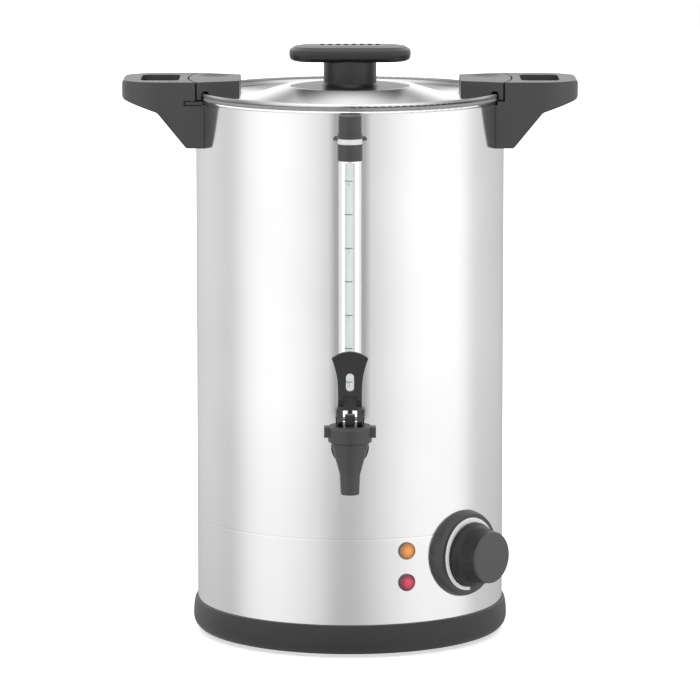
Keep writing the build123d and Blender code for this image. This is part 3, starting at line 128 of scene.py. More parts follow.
# %% Helpers that work on numbers and colours
def grain(graph, scale, detail=3.0, stretch=(1.0, 1.0, 1.0)):
    """Noise in the object's own coordinates; stretch squeezes it along each axis."""
    where = add(graph, "ShaderNodeTexCoord")
    squeeze = add(graph, "ShaderNodeMapping")
    squeeze.inputs["Scale"].default_value = stretch
    noise = add(graph, "ShaderNodeTexNoise", Scale=scale, Detail=detail)
    graph.links.new(where.outputs["Object"], squeeze.inputs["Vector"])
    graph.links.new(squeeze.outputs["Vector"], noise.inputs["Vector"])
    return noise.outputs["Fac"]


def calculate(graph, operation, first, second=0.0):
    """One step of arithmetic; first and second are each a number or a socket."""
    node = add(graph, "ShaderNodeMath", operation=operation)
    for socket, value in zip(node.inputs, (first, second)):
        if isinstance(value, float):
            socket.default_value = value
        else:
            graph.links.new(value, socket)
    return node.outputs[0]


def run(graph, value, start, stop, low=0.0, high=1.0):
    """Low where the value is at start, high at stop, a straight line between, level beyond."""
    node = add(graph, "ShaderNodeMapRange")
    for socket, number in zip(("From Min", "From Max", "To Min", "To Max"), (start, stop, low, high)):
        node.inputs[socket].default_value = number
    graph.links.new(value, node.inputs["Value"])
    return node.outputs["Result"]


def between(graph, fac, low, high):
    """Map a factor from 0..1 to low..high."""
    return run(graph, fac, 0.0, 1.0, low, high)


def two_tones(graph, fac, dark, light, start=0.3, stop=0.7):
    """A colour that runs from dark to light as the factor runs from start to stop."""
    ramp = add(graph, "ShaderNodeValToRGB")
    ramp.color_ramp.elements[0].position = start
    ramp.color_ramp.elements[1].position = stop
    ramp.color_ramp.elements[0].color = (*dark, 1.0)
    ramp.color_ramp.elements[1].color = (*light, 1.0)
    graph.links.new(fac, ramp.inputs["Fac"])
    return ramp.outputs["Color"]


# %% [markdown]
# ## Polished sheet steel
#
# The body, the lid and the gauge's guard are stainless sheet polished almost to
# a mirror. Such a mirror has no colour of its own: it shows the studio, a
# little blurred. A rolled and buffed sheet blurs more one way than the other,
# so a very fine grain along the buffing direction varies the roughness and
# tilts the surface by a hair. Plated screws and cast metal use the same recipe
# with a duller gloss and an even grain.

# %% Polished steel
ALONG_Z = (1.0, 1.0, 0.02)     # grain drawn out into lines that run up the sheet
EVEN = (1.0, 1.0, 1.0)


def polished_steel(name, tone, roughness, stretch, wobble):
    """Buffed steel: grain squeezed by stretch drives roughness and a faint bump."""
    finish, graph, shader = new_finish(name, tone, roughness, metallic=1.0)
    fine = grain(graph, 900.0, 2.0, stretch)
    graph.links.new(between(graph, fine, roughness * 0.75, roughness * 1.25), shader.inputs["Roughness"])
    cloud = grain(graph, 9.0, 2.0)
    light = tuple(min(1.0, c * 1.03) for c in tone)
    dark = tuple(c * 0.97 for c in tone)
    graph.links.new(two_tones(graph, cloud, dark, light), shader.inputs["Base Color"])
    bump = add(graph, "ShaderNodeBump", Strength=wobble, Distance=0.0004)
    graph.links.new(fine, bump.inputs["Height"])
    graph.links.new(bump.outputs["Normal"], shader.inputs["Normal"])
    return finish


guard_steel = polished_steel("polished_guard_steel", (0.80, 0.80, 0.81), 0.14, ALONG_Z, 0.01)
plain_steel = polished_steel("plain_zinc_steel", (0.50, 0.50, 0.52), 0.38, EVEN, 0.05)
brass = polished_steel("plain_brass", (0.62, 0.45, 0.20), 0.30, EVEN, 0.04)
cast_aluminium = polished_steel("cast_aluminium", (0.62, 0.62, 0.63), 0.45, EVEN, 0.15)

dress(guard_steel, "gauge_guard")
dress(plain_steel, "base_plate", "centre_stud", "stud_nuts", "heating_element", "inner_brackets",
      "thermostat_shaft", "case_screws", "reset_spring", "earth_stud", "tap_nut", "tap_spring", "tap_pin",
      "handle_screws", "lid_screws")
dress(brass, "brass_terminals", "inlet_pins", "sensing_bulb")
dress(cast_aluminium, "element_plate")

# %% [markdown]
# ### The body, darker beside the gauge
#
# The gauge's guard stands close before the shell, and its unlit back is
# mirrored as a dark band on either side. The room lights that back a little, so
# its reflection comes out pale, and the steel itself is dimmed to make up for
# it. Position alone decides where: the recipe reads the object's own
# coordinates.

# %% Body steel
GAUGE_SHADE = 0.34             # share of the sheet's brightness that is taken away
SHADE_REACH = (0.0165, 0.0118)  # |x| where the shade ends, and where it is full
SHADE_FOOT = (0.190, 0.200)    # z where it begins, above the tap, and where it is full
SHADE_FRONT = (-0.05, -0.10)   # y where it begins, and where it is full


def object_axes(graph):
    """Sockets for x, y and z in the object's own coordinates."""
    where = add(graph, "ShaderNodeTexCoord")
    axes = add(graph, "ShaderNodeSeparateXYZ")
    graph.links.new(where.outputs["Object"], axes.inputs["Vector"])
    return axes.outputs["X"], axes.outputs["Y"], axes.outputs["Z"]


def darken(finish, amount):
    """Mix a finish's colour with black by amount, a socket that runs from 0 to 1."""
    graph = finish.node_tree
    colour = graph.nodes["Principled BSDF"].inputs["Base Color"]
    shade = add(graph, "ShaderNodeMixRGB", Color2=(0.0, 0.0, 0.0, 1.0))
    graph.links.new(amount, shade.inputs["Fac"])
    graph.links.new(colour.links[0].from_socket, shade.inputs["Color1"])
    graph.links.new(shade.outputs["Color"], colour)


def shade_beside_gauge(finish):
    """Dim the sheet next to the gauge, by GAUGE_SHADE times three shares multiplied.

    One share falls with |x|, one rises with z above the tap, and one keeps the shade
    to the front by y."""
    graph = finish.node_tree
    x, y, z = object_axes(graph)
    near = run(graph, calculate(graph, "ABSOLUTE", x), *SHADE_REACH)
    above = run(graph, z, *SHADE_FOOT)
    front = run(graph, y, *SHADE_FRONT)
    share = calculate(graph, "MULTIPLY", calculate(graph, "MULTIPLY", near, above), front)
    darken(finish, calculate(graph, "MULTIPLY", share, GAUGE_SHADE))


body_steel = polished_steel("polished_body_steel", (0.66, 0.66, 0.665), 0.13, ALONG_Z, 0.02)
shade_beside_gauge(body_steel)
dress(body_steel, "outer_shell")

# %% [markdown]
# ### The tank, polished only at its rim
#
# With the lid off, the inside of the tank shows. Nobody polishes it: it is
# sheet as the mill rolled it, dull and pale, and only the rolled rim shines.
# Rim and wall are one piece of steel, so one finish changes its gloss with the
# distance from the urn's axis. Light goes round many times in a steel pot; a
# very faint glow stands in for what a short light path leaves out.

# %% Tank steel
TANK_WALL = (0.1104, 0.1098)   # distance from the axis where polish ends and mill finish is full
RIM_ROUGHNESS = 0.13
MILL_ROUGHNESS = 0.55
INSIDE_GLOW = 0.02


def from_axis(graph, x, y):
    """A socket for sqrt(x^2 + y^2), the distance from the Z axis."""
    flat = add(graph, "ShaderNodeCombineXYZ")
    length = add(graph, "ShaderNodeVectorMath", operation="LENGTH")
    graph.links.new(x, flat.inputs["X"])
    graph.links.new(y, flat.inputs["Y"])
    graph.links.new(flat.outputs["Vector"], length.inputs[0])
    return length.outputs["Value"]


def mill_inside(finish):
    """Leave the sheet inside TANK_WALL dull, with a glow of INSIDE_GLOW."""
    graph = finish.node_tree
    shader = graph.nodes["Principled BSDF"]
    x, y, _ = object_axes(graph)
    inside = run(graph, from_axis(graph, x, y), *TANK_WALL)
    graph.links.new(between(graph, inside, RIM_ROUGHNESS, MILL_ROUGHNESS), shader.inputs["Roughness"])
    graph.links.new(inside, shader.inputs["Emission Strength"])
    shader.inputs["Emission Color"].default_value = (INSIDE_GLOW, INSIDE_GLOW, INSIDE_GLOW, 1.0)


tank_steel = polished_steel("tank_steel", (0.80, 0.80, 0.805), RIM_ROUGHNESS, ALONG_Z, 0.02)
mill_inside(tank_steel)
dress(tank_steel, "inner_tank", "tank_floor")

# %% [markdown]
# ### The lid, spun on a lathe
#
# The lid is polished while it spins, so its finest scratches are rings round
# the Z axis. A surface scratched in rings draws each highlight out into a
# streak that points at the centre, as on the bottom of a saucepan. Blender
# calls this anisotropy: a Tangent node turned round Z gives the direction of
# the rings. The streaks of the lights fall between dark lobes, which are
# strongest at the diagonals; these lobes are a painted reflection, darkened
# into the lid's colour by the angle round the axis. A narrow dark ring inside
# the rolled edge is painted shade in the crease.

# %% Lid steel
SPUN_DRAW = 0.75               # how far the rings draw a highlight out
PLATEAU = (0.050, 0.055)       # distance from the axis where the lobes begin, and where they are full
# painted reflection: how dark the lobes between the streaks are painted
LOBE_DEPTH = 0.72
LOBE_SHARPNESS = 4.0
R_CREASE = 0.1212
CREASE_HALF = 0.0009
# painted shade: how dark the ring in the crease is painted
CREASE_DEPTH = 0.8


def spun(finish):
    """Turn a steel into spun sheet, whose polishing rings run round the Z axis.

    It also paints shade into the colour. For the dark lobes of the reflection,
    LOBE_DEPTH |sin 2a|^4 of the brightness is taken off outside the plateau, where a is
    the angle round the axis. The painted shade in the crease inside the rolled edge is a
    narrow dark ring: CREASE_DEPTH at R_CREASE, nothing CREASE_HALF away from it. The
    stronger one holds."""
    graph = finish.node_tree
    shader = graph.nodes["Principled BSDF"]
    rings = add(graph, "ShaderNodeTangent", direction_type="RADIAL", axis="Z")
    graph.links.new(rings.outputs["Tangent"], shader.inputs["Tangent"])
    shader.inputs["Anisotropic"].default_value = SPUN_DRAW
    graph.nodes.remove(shader.inputs["Roughness"].links[0].from_node)

    x, y, _ = object_axes(graph)
    reach = from_axis(graph, x, y)
    twice = calculate(graph, "MULTIPLY", calculate(graph, "ARCTAN2", x, y), 2.0)
    wave = calculate(graph, "ABSOLUTE", calculate(graph, "SINE", twice))
    lobe = calculate(graph, "POWER", wave, LOBE_SHARPNESS)
    lobe = calculate(graph, "MULTIPLY", lobe, run(graph, reach, *PLATEAU))
    off = calculate(graph, "ABSOLUTE", calculate(graph, "SUBTRACT", reach, R_CREASE))
    crease = calculate(graph, "SUBTRACT", 1.0, calculate(graph, "DIVIDE", off, CREASE_HALF))
    crease = calculate(graph, "MAXIMUM", crease, 0.0)
    darken(finish, calculate(graph, "MAXIMUM", calculate(graph, "MULTIPLY", lobe, LOBE_DEPTH),
                             calculate(graph, "MULTIPLY", crease, CREASE_DEPTH)))


lid_steel = polished_steel("polished_lid_steel", (0.76, 0.76, 0.765), 0.34, EVEN, 0.02)
# The dark lobes and the crease ring are painted shade in the lid's colour.
spun(lid_steel)
dress(lid_steel, "lid_pan")

# %% [markdown]
# ## Moulded black plastic
#
# The handles, ears, base and tap are heat-resistant mouldings with a satin
# skin: a fine spark-eroded texture from the mould. It looks black face on and
# pale grey where light grazes it. That comes from the shader's own Fresnel
# term; the recipe only adds the texture, a slight drift of gloss and softened
# corners.

# %% Black mouldings
def moulded_black(name, tone, roughness, texture, corner, gloss=0.5):
    """Satin moulding: fine noise bump over a normal that is rounded at the corners."""
    finish, graph, shader = new_finish(name, tone, roughness)
    shader.inputs["Specular IOR Level"].default_value = gloss
    fine = grain(graph, 1800.0, 2.0)
    drift = grain(graph, 25.0, 2.0)
    graph.links.new(between(graph, drift, roughness * 0.88, roughness * 1.12), shader.inputs["Roughness"])
    soft = add(graph, "ShaderNodeBevel", samples=4)
    soft.inputs["Radius"].default_value = corner
    bump = add(graph, "ShaderNodeBump", Strength=texture, Distance=0.0002)
    graph.links.new(fine, bump.inputs["Height"])
    graph.links.new(soft.outputs["Normal"], bump.inputs["Normal"])
    graph.links.new(bump.outputs["Normal"], shader.inputs["Normal"])
    speck = tuple(c * 1.35 for c in tone)
    graph.links.new(two_tones(graph, fine, tone, speck), shader.inputs["Base Color"])
    return finish


handle_black = moulded_black("satin_handle_black", (0.026, 0.026, 0.027), 0.40, 0.25, 0.0009)
tap_black = moulded_black("satin_tap_black", (0.024, 0.024, 0.025), 0.42, 0.20, 0.0004)
knob_black = moulded_black("deep_knob_black", (0.010, 0.010, 0.0105), 0.34, 0.12, 0.0006)
dial_black = moulded_black("satin_dial_black", (0.026, 0.026, 0.027), 0.42, 0.20, 0.0006)
base_black = moulded_black("satin_base_black", (0.018, 0.018, 0.019), 0.46, 0.20, 0.0006, 0.30)

dress(handle_black, "handle_left", "handle_right", "lid_ear_left", "lid_ear_right", "inlet_housing")
dress(base_black, "base_ring")
dress(tap_black, "tap_body", "tap_spout", "tap_bonnet", "gauge_collar", "gauge_cap", "gauge_bracket")
dress(knob_black, "knob_base", "knob_cap", "tap_lever", "tap_stem")
dress(dial_black, "dial_plate", "thermostat_knob")

# %% [markdown]
# ## Rubber, coloured mouldings and print
#
# The small hidden pieces get honest, plain finishes too, because the lid comes
# off and the underside shows. The strip behind the gauge's tube is an ordinary
# pale moulding, but the round tube works as a lens and gathers light on to it,
# so it is given a glow of its own.

# %% Rubber
def dull_rubber(name, tone, roughness):
    """Rubber: nearly no gloss, with a soft mottle of two tones."""
    finish, graph, shader = new_finish(name, tone, roughness)
    mottle = grain(graph, 400.0, 4.0)
    light = tuple(min(1.0, c * 1.25) for c in tone)
    graph.links.new(two_tones(graph, mottle, tone, light), shader.inputs["Base Color"])
    bump = add(graph, "ShaderNodeBump", Strength=0.2, Distance=0.0003)
    graph.links.new(mottle, bump.inputs["Height"])
    graph.links.new(bump.outputs["Normal"], shader.inputs["Normal"])
    return finish


silicone = dull_rubber("grey_silicone", (0.20, 0.20, 0.205), 0.6)
dress(silicone, "tap_washers", "tap_seat", "gauge_seals", "lid_seal")
dress(dull_rubber("black_foot_rubber", (0.02, 0.02, 0.02), 0.8), "foot_ring")


# %% Coloured mouldings
def moulded_colour(name, tone, roughness):
    """A coloured moulding: a faint cloud in the colour and in the gloss."""
    finish, graph, shader = new_finish(name, tone, roughness)
    cloud = grain(graph, 120.0, 2.0)
    dark = tuple(c * 0.92 for c in tone)
    graph.links.new(two_tones(graph, cloud, dark, tone), shader.inputs["Base Color"])
    graph.links.new(between(graph, cloud, roughness * 0.85, roughness * 1.15), shader.inputs["Roughness"])
    return finish


white_moulding = moulded_colour("white_moulding", (0.82, 0.82, 0.80), 0.35)
dress(white_moulding, "thermostat_body", "lamp_bodies", "terminal_block", "cutout_body")
dress(moulded_colour("bright_clip", (0.58, 0.58, 0.58), 0.30), "gauge_clip")
dress(moulded_colour("reset_red", (0.55, 0.03, 0.03), 0.35), "reset_button")
dress(moulded_colour("brown_insulation", (0.16, 0.07, 0.03), 0.45), "wires")
dress(moulded_colour("green_insulation", (0.12, 0.38, 0.06), 0.45), "wire_earth")
dress(moulded_colour("printed_dial_grey", (0.74, 0.74, 0.74), 0.5), "dial_scale")
dress(moulded_colour("printed_tick_grey", (0.03, 0.03, 0.03), 0.5), "gauge_ticks")

# %% Strip behind the gauge
STRIP_GLOW = 0.45

scale_strip = moulded_colour("pale_gauge_strip", (0.60, 0.61, 0.62), 0.4)
strip_shader = scale_strip.node_tree.nodes["Principled BSDF"]
strip_shader.inputs["Emission Color"].default_value = (1.0, 1.0, 1.0, 1.0)
strip_shader.inputs["Emission Strength"].default_value = STRIP_GLOW
dress(scale_strip, "gauge_scale")

# %% [markdown]
# ## Glass
#
# The gauge is a plain glass tube. Real refraction through a thin wall is slow
# and noisy, and face on it changes nothing that the eye can see. So the tube is
# transparent, and a Fresnel term turns it to a pale gloss towards its edges.

# %% Glass
EDGE_GLOW = 0.55
GLASS_INDEX = 1.45


def clear_glass(name):
    """Thin clear glass: mostly transparent. Towards its edges it turns to a pale gloss
    with a glow of its own, the light that travels round inside the wall."""
    finish = bpy.data.materials.new(name)
    finish.use_nodes = True
    graph = finish.node_tree
    graph.nodes.remove(graph.nodes["Principled BSDF"])
    clear = add(graph, "ShaderNodeBsdfTransparent")
    clear.inputs["Color"].default_value = (0.96, 0.97, 0.97, 1.0)
    gloss = add(graph, "ShaderNodeBsdfGlossy", Roughness=0.03, Color=(0.25, 0.25, 0.25, 1.0))
    glow = add(graph, "ShaderNodeEmission", Strength=EDGE_GLOW)
    pale = add(graph, "ShaderNodeAddShader")
    graph.links.new(gloss.outputs["BSDF"], pale.inputs[0])
    graph.links.new(glow.outputs["Emission"], pale.inputs[1])
    rim = add(graph, "ShaderNodeFresnel")
    rim.inputs["IOR"].default_value = GLASS_INDEX
    mix = add(graph, "ShaderNodeMixShader")
    graph.links.new(rim.outputs["Fac"], mix.inputs["Fac"])
    graph.links.new(clear.outputs["BSDF"], mix.inputs[1])
    graph.links.new(pale.outputs["Shader"], mix.inputs[2])
    graph.links.new(mix.outputs["Shader"], graph.nodes["Material Output"].inputs["Surface"])
    finish.diffuse_color = (0.9, 0.95, 0.95, 0.3)
    return finish


dress(clear_glass("gauge_glass_tube"), "gauge_glass")

# %% [markdown]
# ## Lamp lenses
#
# The two lenses are clear coloured domes: light goes in, scatters at the white
# body behind and comes back coloured. Paths through nested glass are slow and
# noisy, so a lens is a glossy shell whose colour is deeper at the rim, where
# the eye looks through more of it.

# %% Lamp lenses
MM = 0.001
R_SHELL = 125.0
LAMP_TURN = radians(21.2)
DOME_TOP = R_SHELL + 3.8
DOME_REACH = 7.8               # from the dome's top to its edge, in mm
LENS_GLOW = 0.05               # light that comes back from the white body behind


def lamp_lens(name, height, centre, rim):
    """A coloured dome: its colour runs from the centre's to the rim's with the
    distance from the dome's top, then to nearly black where it meets the casing."""
    finish, graph, shader = new_finish(name, centre, 0.12)
    top = (DOME_TOP * sin(LAMP_TURN) * MM, -DOME_TOP * cos(LAMP_TURN) * MM, height * MM)
    where = add(graph, "ShaderNodeTexCoord")
    away = add(graph, "ShaderNodeVectorMath", operation="DISTANCE")
    away.inputs[1].default_value = top
    graph.links.new(where.outputs["Object"], away.inputs[0])
    ramp = add(graph, "ShaderNodeValToRGB")
    bands = ramp.color_ramp.elements
    bands[0].position, bands[0].color = 0.25, (*centre, 1.0)
    bands[1].position, bands[1].color = 0.70, (*rim, 1.0)
    bands.new(0.86).color = (*(c * 0.8 for c in rim), 1.0)
    bands.new(0.93).color = (0.03, 0.02, 0.02, 1.0)
    graph.links.new(run(graph, away.outputs["Value"], 0.0, DOME_REACH * MM), ramp.inputs["Fac"])
    cloud = grain(graph, 700.0, 2.0)
    mottled = add(graph, "ShaderNodeMixRGB", blend_type="MULTIPLY", Fac=0.25)
    graph.links.new(ramp.outputs["Color"], mottled.inputs["Color1"])
    graph.links.new(two_tones(graph, cloud, (0.75, 0.75, 0.75), (1.0, 1.0, 1.0)), mottled.inputs["Color2"])
    graph.links.new(mottled.outputs["Color"], shader.inputs["Base Color"])
    graph.links.new(mottled.outputs["Color"], shader.inputs["Emission Color"])
    shader.inputs["Emission Strength"].default_value = LENS_GLOW
    return finish


dress(lamp_lens("amber_lens", 85.6, (0.72, 0.26, 0.05), (0.34, 0.14, 0.035)), "lens_amber")
dress(lamp_lens("red_lens", 60.0, (0.58, 0.035, 0.085), (0.16, 0.018, 0.035)), "lens_red")

# %% [markdown]
# ## Surfaces from two parameters
#
# Some faces are easier to state as a formula than to model. A surface of two
# parameters is a rectangular grid of points: one parameter numbers the rows,
# the other the columns. numpy computes all the points at once; neighbouring
# rows and columns then make the four corners of each face. Where a row shrinks
# to a point on the axis, its points are merged, so the surface has no hole.

# %% Grids
def grid_mesh(name, points, ring):
    """A mesh over a (rows, columns, 3) grid of points in metres.

    Face (i, j) has the corners (i, j), (i+1, j), (i+1, j+1), (i, j+1), so it faces
    along the step between rows times the step between columns. With ring set the last
    column joins the first one again."""
    rows, columns, _ = points.shape
    index = np.arange(rows * columns).reshape(rows, columns)
    right = np.roll(index, -1, axis=1)
    last = columns if ring else columns - 1
    near, far = index[:-1, :last], right[:-1, :last]
    faces = np.stack([near, index[1:, :last], right[1:, :last], far], axis=-1).reshape(-1, 4)
    mesh = bpy.data.meshes.new(name)
    mesh.from_pydata(points.reshape(-1, 3).tolist(), [], faces.tolist())
    mesh.polygons.foreach_set("use_smooth", np.ones(len(faces), dtype=bool))
    mesh.update()
    return mesh


def close_poles(mesh):
    """Merge each row whose points have met in one, where the surface crosses its axis."""
    shape = bmesh.new()
    shape.from_mesh(mesh)
    bmesh.ops.remove_doubles(shape, verts=shape.verts, dist=1e-7)
    shape.to_mesh(mesh)
    shape.free()
    mesh.update()


def hang(name, mesh, finish, body):
    """Hang a new piece on a body, with its finish."""
    piece = bpy.data.objects.new(name, mesh)
    mesh.materials.append(finish)
    bpy.context.scene.collection.objects.link(piece)
    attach(piece, body)
    print(name, "has", len(mesh.polygons), "faces")
    return piece


# %% Rounded outlines
CORNER_ROWS = 5                # points on each rounded corner


def soften(corners, reach):
    """Round each inner corner of an open outline.

    The corner p becomes a parabola that starts reach before p on the incoming side
    and ends reach after p on the outgoing side: (1-t)^2 a + 2t(1-t) p + t^2 b. It
    takes up at most 0.45 of a side."""
    corners = np.asarray(corners, float)
    rounded = [corners[0]]
    t = np.linspace(0.0, 1.0, CORNER_ROWS)[:, None]
    for before, p, after in zip(corners[:-2], corners[1:-1], corners[2:]):
        into, out = before - p, after - p
        a = p + into * min(reach / np.linalg.norm(into), 0.45)
        b = p + out * min(reach / np.linalg.norm(out), 0.45)
        rounded.extend((1 - t) ** 2 * a + 2 * t * (1 - t) * p + t ** 2 * b)
    rounded.append(corners[-1])
    return np.array(rounded)


# %% [markdown]
# ### The dial's knurled knob
#
# The knob is a profile of radius against distance, turned round the dial's
# axis: face, side, skirt, and back through the hollow to the hub with its
# bore. Its side carries fifty-six fine grooves. A groove is a dip in the
# radius that depends on the angle, and it fades in and out along the profile,
# so the face and the skirt stay plain. The side's colour is painted a deeper
# black than the face's: painted shade for the light that is lost between the
# grooves.

# %% Sizes of the knob, in mm
DIAL_TURN = radians(47.0)
DIAL_HEIGHT = 78.0
W_FACE = R_SHELL + 31.0        # the knob's face, from the urn's axis
W_PLATE = R_SHELL + 6.6        # the dial plate's face behind it
W_ROOF = W_FACE - 6.0          # roof of the hollow
W_BORE = W_FACE - 9.0          # end of the bore
R_FACE = 20.6
R_FOOT = 22.9
R_SKIRT = 26.0
R_INSIDE = 23.7
R_HUB = 5.6
R_BORE = 3.0
ROUNDING = 1.3
SIDE_ROWS = 24
GROOVES = 56
GROOVE_DEPTH = 0.32
GROOVE_TOP = 4.6               # where a groove begins and ends, measured back from the face
GROOVE_END = 15.6
GROOVE_FADE = 1.2
COLUMNS_PER_GROOVE = 10
COLUMNS = GROOVES * COLUMNS_PER_GROOVE
FACE_ROWS = CORNER_ROWS + 1


# %% Knurled knob
def knob_profile():
    """Radius and distance along the knob, with SIDE_ROWS more rows on its side."""
    outline = soften([
        (0.0, W_FACE), (R_FACE, W_FACE), (R_FOOT, W_PLATE + 8.5), (R_SKIRT, W_PLATE + 5.4),
        (R_SKIRT, W_PLATE + 1.7), (R_INSIDE, W_PLATE + 1.7), (R_INSIDE, W_PLATE + 5.0),
        (R_FOOT - 4.3, W_PLATE + 8.4), (R_FACE - 2.9, W_ROOF), (R_HUB, W_ROOF),
        (R_HUB, W_PLATE + 3.0), (R_BORE, W_PLATE + 3.0), (R_BORE, W_BORE), (0.0, W_BORE)], ROUNDING)
    side = np.linspace(outline[CORNER_ROWS], outline[FACE_ROWS], SIDE_ROWS + 2)[1:-1]
    return np.vstack([outline[:FACE_ROWS], side, outline[FACE_ROWS:]])


def knurled_knob():
    """Radius r(s, a) = R(s) - depth * fade(s) * c(a)^2, where R(s) is the profile and
    c(a) = (1 + cos(56 a)) / 2; the point lies r from the axis at the angle a, at the
    profile's distance w(s) from the body's axis."""
    profile = knob_profile()
    r, w = profile[:, 0:1], profile[:, 1:2]
    fade = np.clip((W_FACE - GROOVE_TOP - w) / GROOVE_FADE, 0, 1)
    fade *= np.clip((w - (W_FACE - GROOVE_END)) / GROOVE_FADE, 0, 1)
    fade[FACE_ROWS + SIDE_ROWS + 2:] = 0.0
    a = np.linspace(0.0, 2 * pi, COLUMNS, endpoint=False)[None, :]
    crest = ((1.0 + np.cos(GROOVES * a)) / 2) ** 2
    radius = r - GROOVE_DEPTH * fade * crest
    u, v, w = radius * np.cos(a), radius * np.sin(a), w + 0.0 * a
    x = w * sin(DIAL_TURN) + u * cos(DIAL_TURN)
    y = -w * cos(DIAL_TURN) + u * sin(DIAL_TURN)
    return np.stack([x, y, DIAL_HEIGHT + v], axis=-1) * MM


# painted shade: the side's colour is a deeper black than the face's, for light lost between the grooves
knob_side = moulded_black("knurled_side_black", (0.008, 0.008, 0.0085), 0.40, 0.10, 0.0004, 0.35)
knob_face = moulded_black("knob_face_black", (0.034, 0.034, 0.035), 0.45, 0.20, 0.0006)
knob_mesh = grid_mesh("dial_knob_knurled", knurled_knob(), True)
knob = hang("dial_knob_knurled", knob_mesh, knob_side, "dial")
knob_mesh.materials.append(knob_face)
on_face = np.arange(len(knob_mesh.polygons)) < FACE_ROWS * COLUMNS
knob_mesh.polygons.foreach_set("material_index", on_face.astype(np.int32))
close_poles(knob_mesh)
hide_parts("thermostat_knob")

# %% [markdown]
# ### Numerals on the gauge
#
# The litre marks three, five, seven and nine carry numerals, printed on the
# tube. Each is a stroke: a narrow ribbon laid along a path made of lines and
# arcs. The flat ribbon is then wrapped round the tube.

# %% Paths of the numerals
def arc(cx, cy, rx, ry, start, stop, steps=14):
    """Points (cx + rx cos a, cy + ry sin a) as a runs from start to stop degrees."""
    a = np.radians(np.linspace(start, stop, steps))
    return np.stack([cx + rx * np.cos(a), cy + ry * np.sin(a)], axis=-1)


DIGITS = {  # each numeral is one high and about 0.56 wide
    3: np.vstack([arc(0.27, 0.75, 0.24, 0.24, 160, -90), arc(0.27, 0.25, 0.27, 0.26, 90, -160)]),
    5: np.vstack([[(0.52, 1.0), (0.10, 1.0), (0.07, 0.54)], arc(0.26, 0.31, 0.28, 0.31, 125, -155)]),
    7: np.array([(0.0, 1.0), (0.55, 1.0), (0.36, 0.5), (0.20, 0.0)]),
    9: np.vstack([arc(0.28, 0.70, 0.26, 0.29, 0, 360, 20), arc(0.10, 0.70, 0.44, 0.70, 0, -72)]),
}
DIGIT_HALF_WIDTH = 0.28

# %% Numerals
TUBE_Y = -(R_SHELL + 12.0)
TUBE_RADIUS = 5.0
TANK_RADIUS = R_SHELL - 15.5
LITRE = 1e6 / (pi * TANK_RADIUS ** 2)
ZERO_MARK = 146.2
BELOW_MARK = 0.9
DIGIT_HEIGHT = 3.1
DIGIT_MIDDLE = -1.2
STROKE = 0.26
PRINT_LIFT = 0.14


def wrapped_stroke(path, middle, foot):
    """A ribbon of width STROKE along a flat path, wrapped round the tube.

    Row 0 and row 1 are the path moved half a stroke to either side along its normal.
    A flat x becomes the angle x / R round the tube, whose radius is R."""
    flat = path * DIGIT_HEIGHT + (middle - DIGIT_HALF_WIDTH * DIGIT_HEIGHT, foot)
    along = np.gradient(flat, axis=0)
    along /= np.linalg.norm(along, axis=1, keepdims=True) + 1e-9
    normal = np.stack([-along[:, 1], along[:, 0]], axis=-1)
    rows = np.stack([flat + STROKE / 2 * normal, flat - STROKE / 2 * normal])
    angle = rows[..., 0] / TUBE_RADIUS
    radius = TUBE_RADIUS + PRINT_LIFT
    return np.stack([radius * np.sin(angle), TUBE_Y - radius * np.cos(angle), rows[..., 1]], axis=-1) * MM


print_grey = moulded_colour("printed_numeral_grey", (0.20, 0.20, 0.21), 0.5)
for litres, path in DIGITS.items():
    foot = ZERO_MARK + LITRE * litres - BELOW_MARK - DIGIT_HEIGHT
    ribbon = wrapped_stroke(path, DIGIT_MIDDLE, foot)
    hang(f"gauge_numeral_{litres}", grid_mesh(f"gauge_numeral_{litres}", ribbon, False), print_grey, "body")

# %% [markdown]
# ## The studio
#
# A polished cylinder is lit by what it mirrors. The room is a pale one with a
# long soft light on each side of the camera and a dimmer gap between them
# where the camera stands. It is painted as brightness against compass
# direction: one smooth ramp over the direction a ray leaves in.

# %% Walls of the room
ROOM = [  # (direction round the room in degrees, 0 towards the camera, + to the right; brightness)
    (-180, 0.50), (-166, 0.70), (-150, 0.88), (-128, 1.02), (-108, 0.93), (-97, 0.96), (-86, 1.28),
    (-74, 1.50), (-60, 1.58), (-45, 1.50), (-32, 1.36), (-21, 1.16), (-13, 0.92), (-5, 0.80),
    (5, 0.84), (13, 0.98), (22, 1.14), (32, 1.30), (44, 1.48), (60, 1.58), (86, 1.56), (95, 1.42),
    (104, 1.12), (113, 1.00), (130, 0.92), (148, 0.80), (166, 0.62), (180, 0.40)]
BRIGHTEST = 1.6                # the ramp's colours are shares of this

world = bpy.data.worlds.new("studio_room")
bpy.context.scene.world = world
world.use_nodes = True
room = world.node_tree
room.nodes.clear()
direction = add(room, "ShaderNodeTexCoord")
parts = add(room, "ShaderNodeSeparateXYZ")
room.links.new(direction.outputs["Generated"], parts.inputs["Vector"])
toward = calculate(room, "MULTIPLY", parts.outputs["Y"], -1.0)
compass = calculate(room, "ARCTAN2", parts.outputs["X"], toward)

walls = add(room, "ShaderNodeValToRGB")
walls.color_ramp.interpolation = "B_SPLINE"
while len(walls.color_ramp.elements) < len(ROOM):
    walls.color_ramp.elements.new(0.5)
for stop, (bearing, level) in zip(walls.color_ramp.elements, ROOM):
    stop.position = (bearing + 180.0) / 360.0
    stop.color = (level / BRIGHTEST,) * 3 + (1.0,)
room.links.new(run(room, compass, -pi, pi), walls.inputs["Fac"])
print("the room has", len(ROOM), "directions, from", min(ROOM)[0], "to", max(ROOM)[0], "degrees")

# %% [markdown]
# Above the lights hangs one even, pale ceiling, which the lid's top mirrors.
# Low down the room is a little darker, and so is the foot of every upright
# surface. Both go by the height of the ray's direction, which is its Z.

